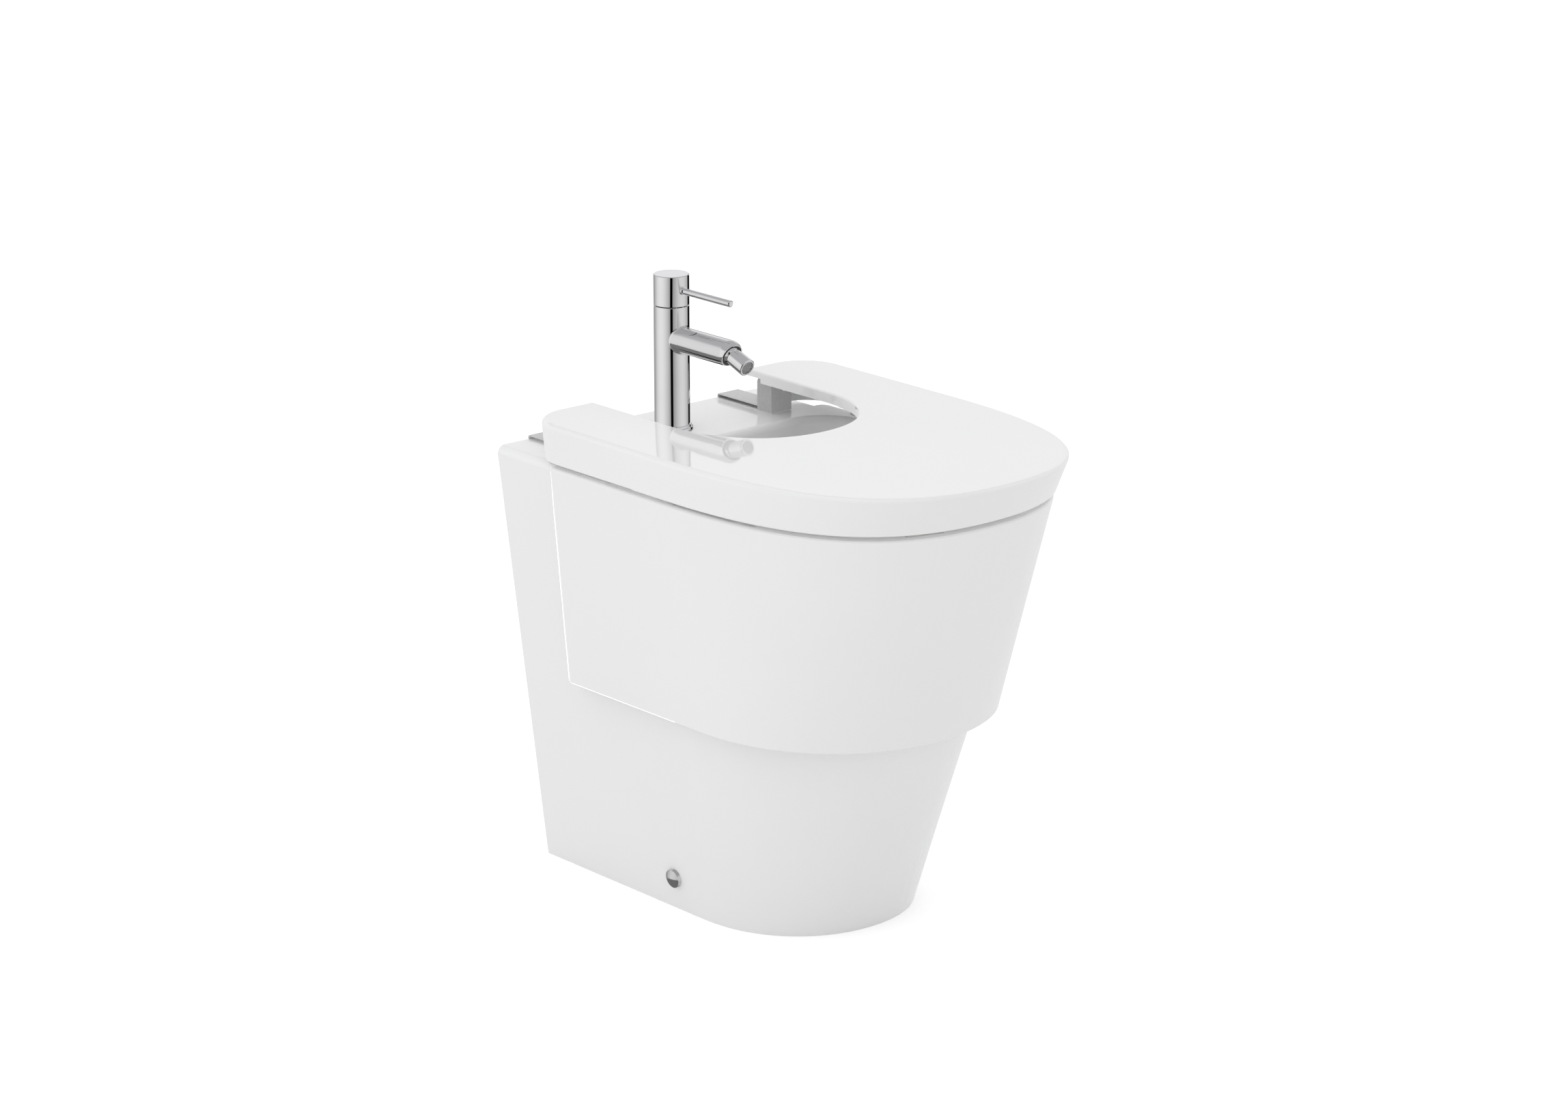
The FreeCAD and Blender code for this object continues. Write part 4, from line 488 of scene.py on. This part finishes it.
def stage_mesh(name, points, faces, material):
    """Mesh object of the studio, with its material."""
    mesh = bpy.data.meshes.new(name)
    mesh.from_pydata(points, [], faces)
    mesh.materials.append(material)
    piece = bpy.data.objects.new(name, mesh)
    bpy.context.scene.collection.objects.link(piece)
    return piece


def show_to_gloss_alone(piece):
    piece.visible_camera = piece.visible_diffuse = piece.visible_shadow = False
    piece.visible_transmission = piece.visible_volume_scatter = False


def make_camera():
    data = bpy.data.cameras.new("camera")
    data.lens = CAMERA_LENS
    data.sensor_width = CAMERA_SENSOR
    data.clip_end = CAMERA_CLIP
    camera = bpy.data.objects.new("camera", data)
    camera.location = CAMERA_PLACE
    tilt, turn = math.radians(90.0 - CAMERA_ELEVATION), math.radians(CAMERA_AZIMUTH)
    camera.rotation_euler = Euler((tilt, 0.0, turn))
    bpy.context.scene.collection.objects.link(camera)
    bpy.context.scene.camera = camera


def make_floor():
    """Matt floor that shows as white to the camera and not at all in gloss."""
    material, tree = new_material("floor")
    light = add_node(tree, "ShaderNodeLightPath")
    matt = add_node(tree, "ShaderNodeBsdfDiffuse", {"Color": grey(FLOOR_DIFFUSE)})
    strength = math_node(tree, "MULTIPLY", light.outputs["Is Camera Ray"], FLOOR_GLOW)
    glow = add_node(tree, "ShaderNodeEmission", {"Strength": strength})
    both = add_node(tree, "ShaderNodeAddShader", {0: matt.outputs[0], 1: glow.outputs[0]})
    add_node(tree, "ShaderNodeOutputMaterial", {"Surface": both.outputs[0]})
    corners = [(-FLOOR_HALF, -FLOOR_HALF, 0), (FLOOR_HALF, -FLOOR_HALF, 0),
               (FLOOR_HALF, FLOOR_HALF, 0), (-FLOOR_HALF, FLOOR_HALF, 0)]
    floor = stage_mesh("floor", corners, [(0, 1, 2, 3)], material)
    floor.visible_glossy = False


def make_card():
    """Sector on the floor that only the ceramic's gloss sees: it lights the rear edges of the bowl."""
    material, tree = new_material("reflector")
    glow = add_node(tree, "ShaderNodeEmission", {"Strength": CARD_STRENGTH})
    add_node(tree, "ShaderNodeOutputMaterial", {"Surface": glow.outputs[0]})
    first, last = CARD_AZIMUTHS
    points = []
    for radius in CARD_RADII:
        for i in range(CARD_STEPS + 1):
            flat = direction(first + (last - first) * i / CARD_STEPS, 0.0) * radius
            points.append((CARD_CENTRE[0] + flat.x, CARD_CENTRE[1] + flat.y, CARD_HEIGHT))
    faces = [(i, i + 1, i + CARD_STEPS + 2, i + CARD_STEPS + 1) for i in range(CARD_STEPS)]
    card = stage_mesh("reflector", points, faces, material)
    show_to_gloss_alone(card)
    receivers = bpy.data.collections.new("reflector_receivers")
    receivers.objects.link(NODES["ceramic_body"])
    card.light_linking.receiver_collection = receivers


def make_flag():
    """Plate that hides the card from the basin: as bright as the soft room, and clear to chrome."""
    material, tree = new_material("flag")
    material.cycles.emission_sampling = "NONE"
    light = add_node(tree, "ShaderNodeLightPath")
    wall = add_node(tree, "ShaderNodeEmission", {"Strength": SOFT_ROOM})
    clear = add_node(tree, "ShaderNodeBsdfTransparent")
    both = add_node(tree, "ShaderNodeMixShader", {
        0: light.outputs["Is Singular Ray"], 1: wall.outputs[0], 2: clear.outputs[0]})
    add_node(tree, "ShaderNodeOutputMaterial", {"Surface": both.outputs[0]})
    (left, front), (right, rear) = FLAG_BOX
    corners = [(left, front, FLAG_HEIGHT), (right, front, FLAG_HEIGHT),
               (right, rear, FLAG_HEIGHT), (left, rear, FLAG_HEIGHT)]
    flag = stage_mesh("flag", corners, [(0, 1, 2, 3)], material)
    show_to_gloss_alone(flag)


def away_from(tree, bearing, degrees):
    """Angle between the ray's bearing and a bearing in degrees, in radians."""
    return math_node(tree, "ABSOLUTE", math_node(tree, "SUBTRACT", bearing, math.radians(degrees)))


def panel_wall(tree, bearing):
    """Brightness of the wall: panels that fade from their middle as a cosine, cut by black strips."""
    level = WALL_LEVEL
    for middle, half_width, peak in SOFT_PANELS:
        turn = remap(tree, away_from(tree, bearing, middle),
                     0.0, math.pi / 2, 0.0, math.radians(half_width))
        glow = remap(tree, math_node(tree, "COSINE", turn), PANEL_RIM, peak)
        level = math_node(tree, "MAXIMUM", glow, level)
    for first, last in BLACK_STRIPS:
        half_width = (last - first) / 2
        edge = math.radians(half_width), math.radians(half_width + STRIP_EDGE)
        clear = step(tree, away_from(tree, bearing, (first + last) / 2), edge)
        level = math_node(tree, "MULTIPLY", level, clear)
    return level


def panel_room(tree, ahead, across, height):
    """What chrome mirrors: the panel wall all round, a ceiling, and a ground split in two."""
    panels = panel_wall(tree, math_node(tree, "ARCTAN2", across, ahead))
    ceiling = blend(tree, step(tree, height, CEILING_FADE), cool(CEILING_LOW), cool(CEILING_TOP))
    low_ceiling = math_node(
        tree, "MULTIPLY", step(tree, height, LOW_CEILING_EDGE), step(tree, ahead, FAR_SIDE))
    above = math_node(tree, "MAXIMUM", low_ceiling, step(tree, height, CEILING_EDGE))
    ground = blend(tree, step(tree, across, GROUND_SPLIT), grey(GROUND_RIGHT), grey(GROUND_LEFT))
    room = blend(tree, above, panels, ceiling)
    return blend(tree, step(tree, height, GROUND_EDGE), room, ground)


def soft_room(tree, ahead, height):
    """What the other gloss mirrors: a plain room, darker overhead and above the camera."""
    near_side = math_node(
        tree, "MULTIPLY", step(tree, height, SOFT_NEAR_EDGE), step(tree, ahead, SOFT_NEAR_SIDE))
    above = math_node(tree, "MAXIMUM", near_side, step(tree, height, SOFT_TOP_EDGE))
    return blend(tree, above, grey(SOFT_ROOM), grey(SOFT_ROOM_TOP))


def sky_light(tree, ahead, across, height):
    """What lights the surfaces: an even sky with a slight slope from side to side."""
    level = remap(tree, across, SKY_LEFT, SKY_RIGHT, -1.0, 1.0)
    level = math_node(tree, "SUBTRACT", level, remap(tree, ahead, 0.0, SKY_REAR, 0.0, -1.0))
    level = math_node(tree, "SUBTRACT", level, remap(tree, ahead, 0.0, SKY_FRONT))
    return math_node(tree, "MULTIPLY", level, remap(tree, height, 1.0, SKY_ZENITH))


def make_room():
    """World: white to the camera, an even sky on surfaces, and a room for each kind of gloss."""
    world = bpy.data.worlds.new("studio")
    bpy.context.scene.world = world
    world.use_nodes = True
    tree = world.node_tree
    tree.nodes.clear()
    ray = add_node(tree, "ShaderNodeTexCoord").outputs["Generated"]
    to_camera = direction(CAMERA_AZIMUTH, 0.0)
    to_right = Vector((-to_camera.y, to_camera.x, 0.0))
    ahead, across = (
        add_node(tree, "ShaderNodeVectorMath", {0: ray, 1: axis},
                 operation="DOT_PRODUCT").outputs["Value"]
        for axis in (to_camera, to_right))
    height = add_node(tree, "ShaderNodeSeparateXYZ", {0: ray}).outputs["Z"]
    light = add_node(tree, "ShaderNodeLightPath").outputs
    gloss = blend(tree, light["Is Singular Ray"],
                  soft_room(tree, ahead, height), panel_room(tree, ahead, across, height))
    seen = blend(tree, light["Is Glossy Ray"], sky_light(tree, ahead, across, height), gloss)
    seen = blend(tree, light["Is Camera Ray"], seen, grey(1.0))
    background = add_node(tree, "ShaderNodeBackground", {"Color": seen, "Strength": 1.0})
    add_node(tree, "ShaderNodeOutputWorld", {"Surface": background.outputs[0]})


def make_lamps():
    low, high = CAD_BOX
    centre = (low + high) / 2
    for name, azimuth, elevation, distance, watts in SOFTBOXES:
        data = bpy.data.lights.new(name, "AREA")
        data.shape = "SQUARE"
        data.size = SOFTBOX_SIZE
        data.energy = watts
        lamp = bpy.data.objects.new(name, data)
        towards = direction(azimuth, elevation)
        lamp.location = centre + towards * distance
        lamp.rotation_euler = towards.to_track_quat("Z", "Y").to_euler()
        lamp.visible_glossy = False
        bpy.context.scene.collection.objects.link(lamp)


bpy.context.scene.view_settings.view_transform = "Standard"
MATERIALS = make_materials()
dress_nodes(MATERIALS)
make_weave(MATERIALS)
make_insert(MATERIALS)
make_floor()
make_card()
make_flag()
make_room()
make_lamps()
make_camera()
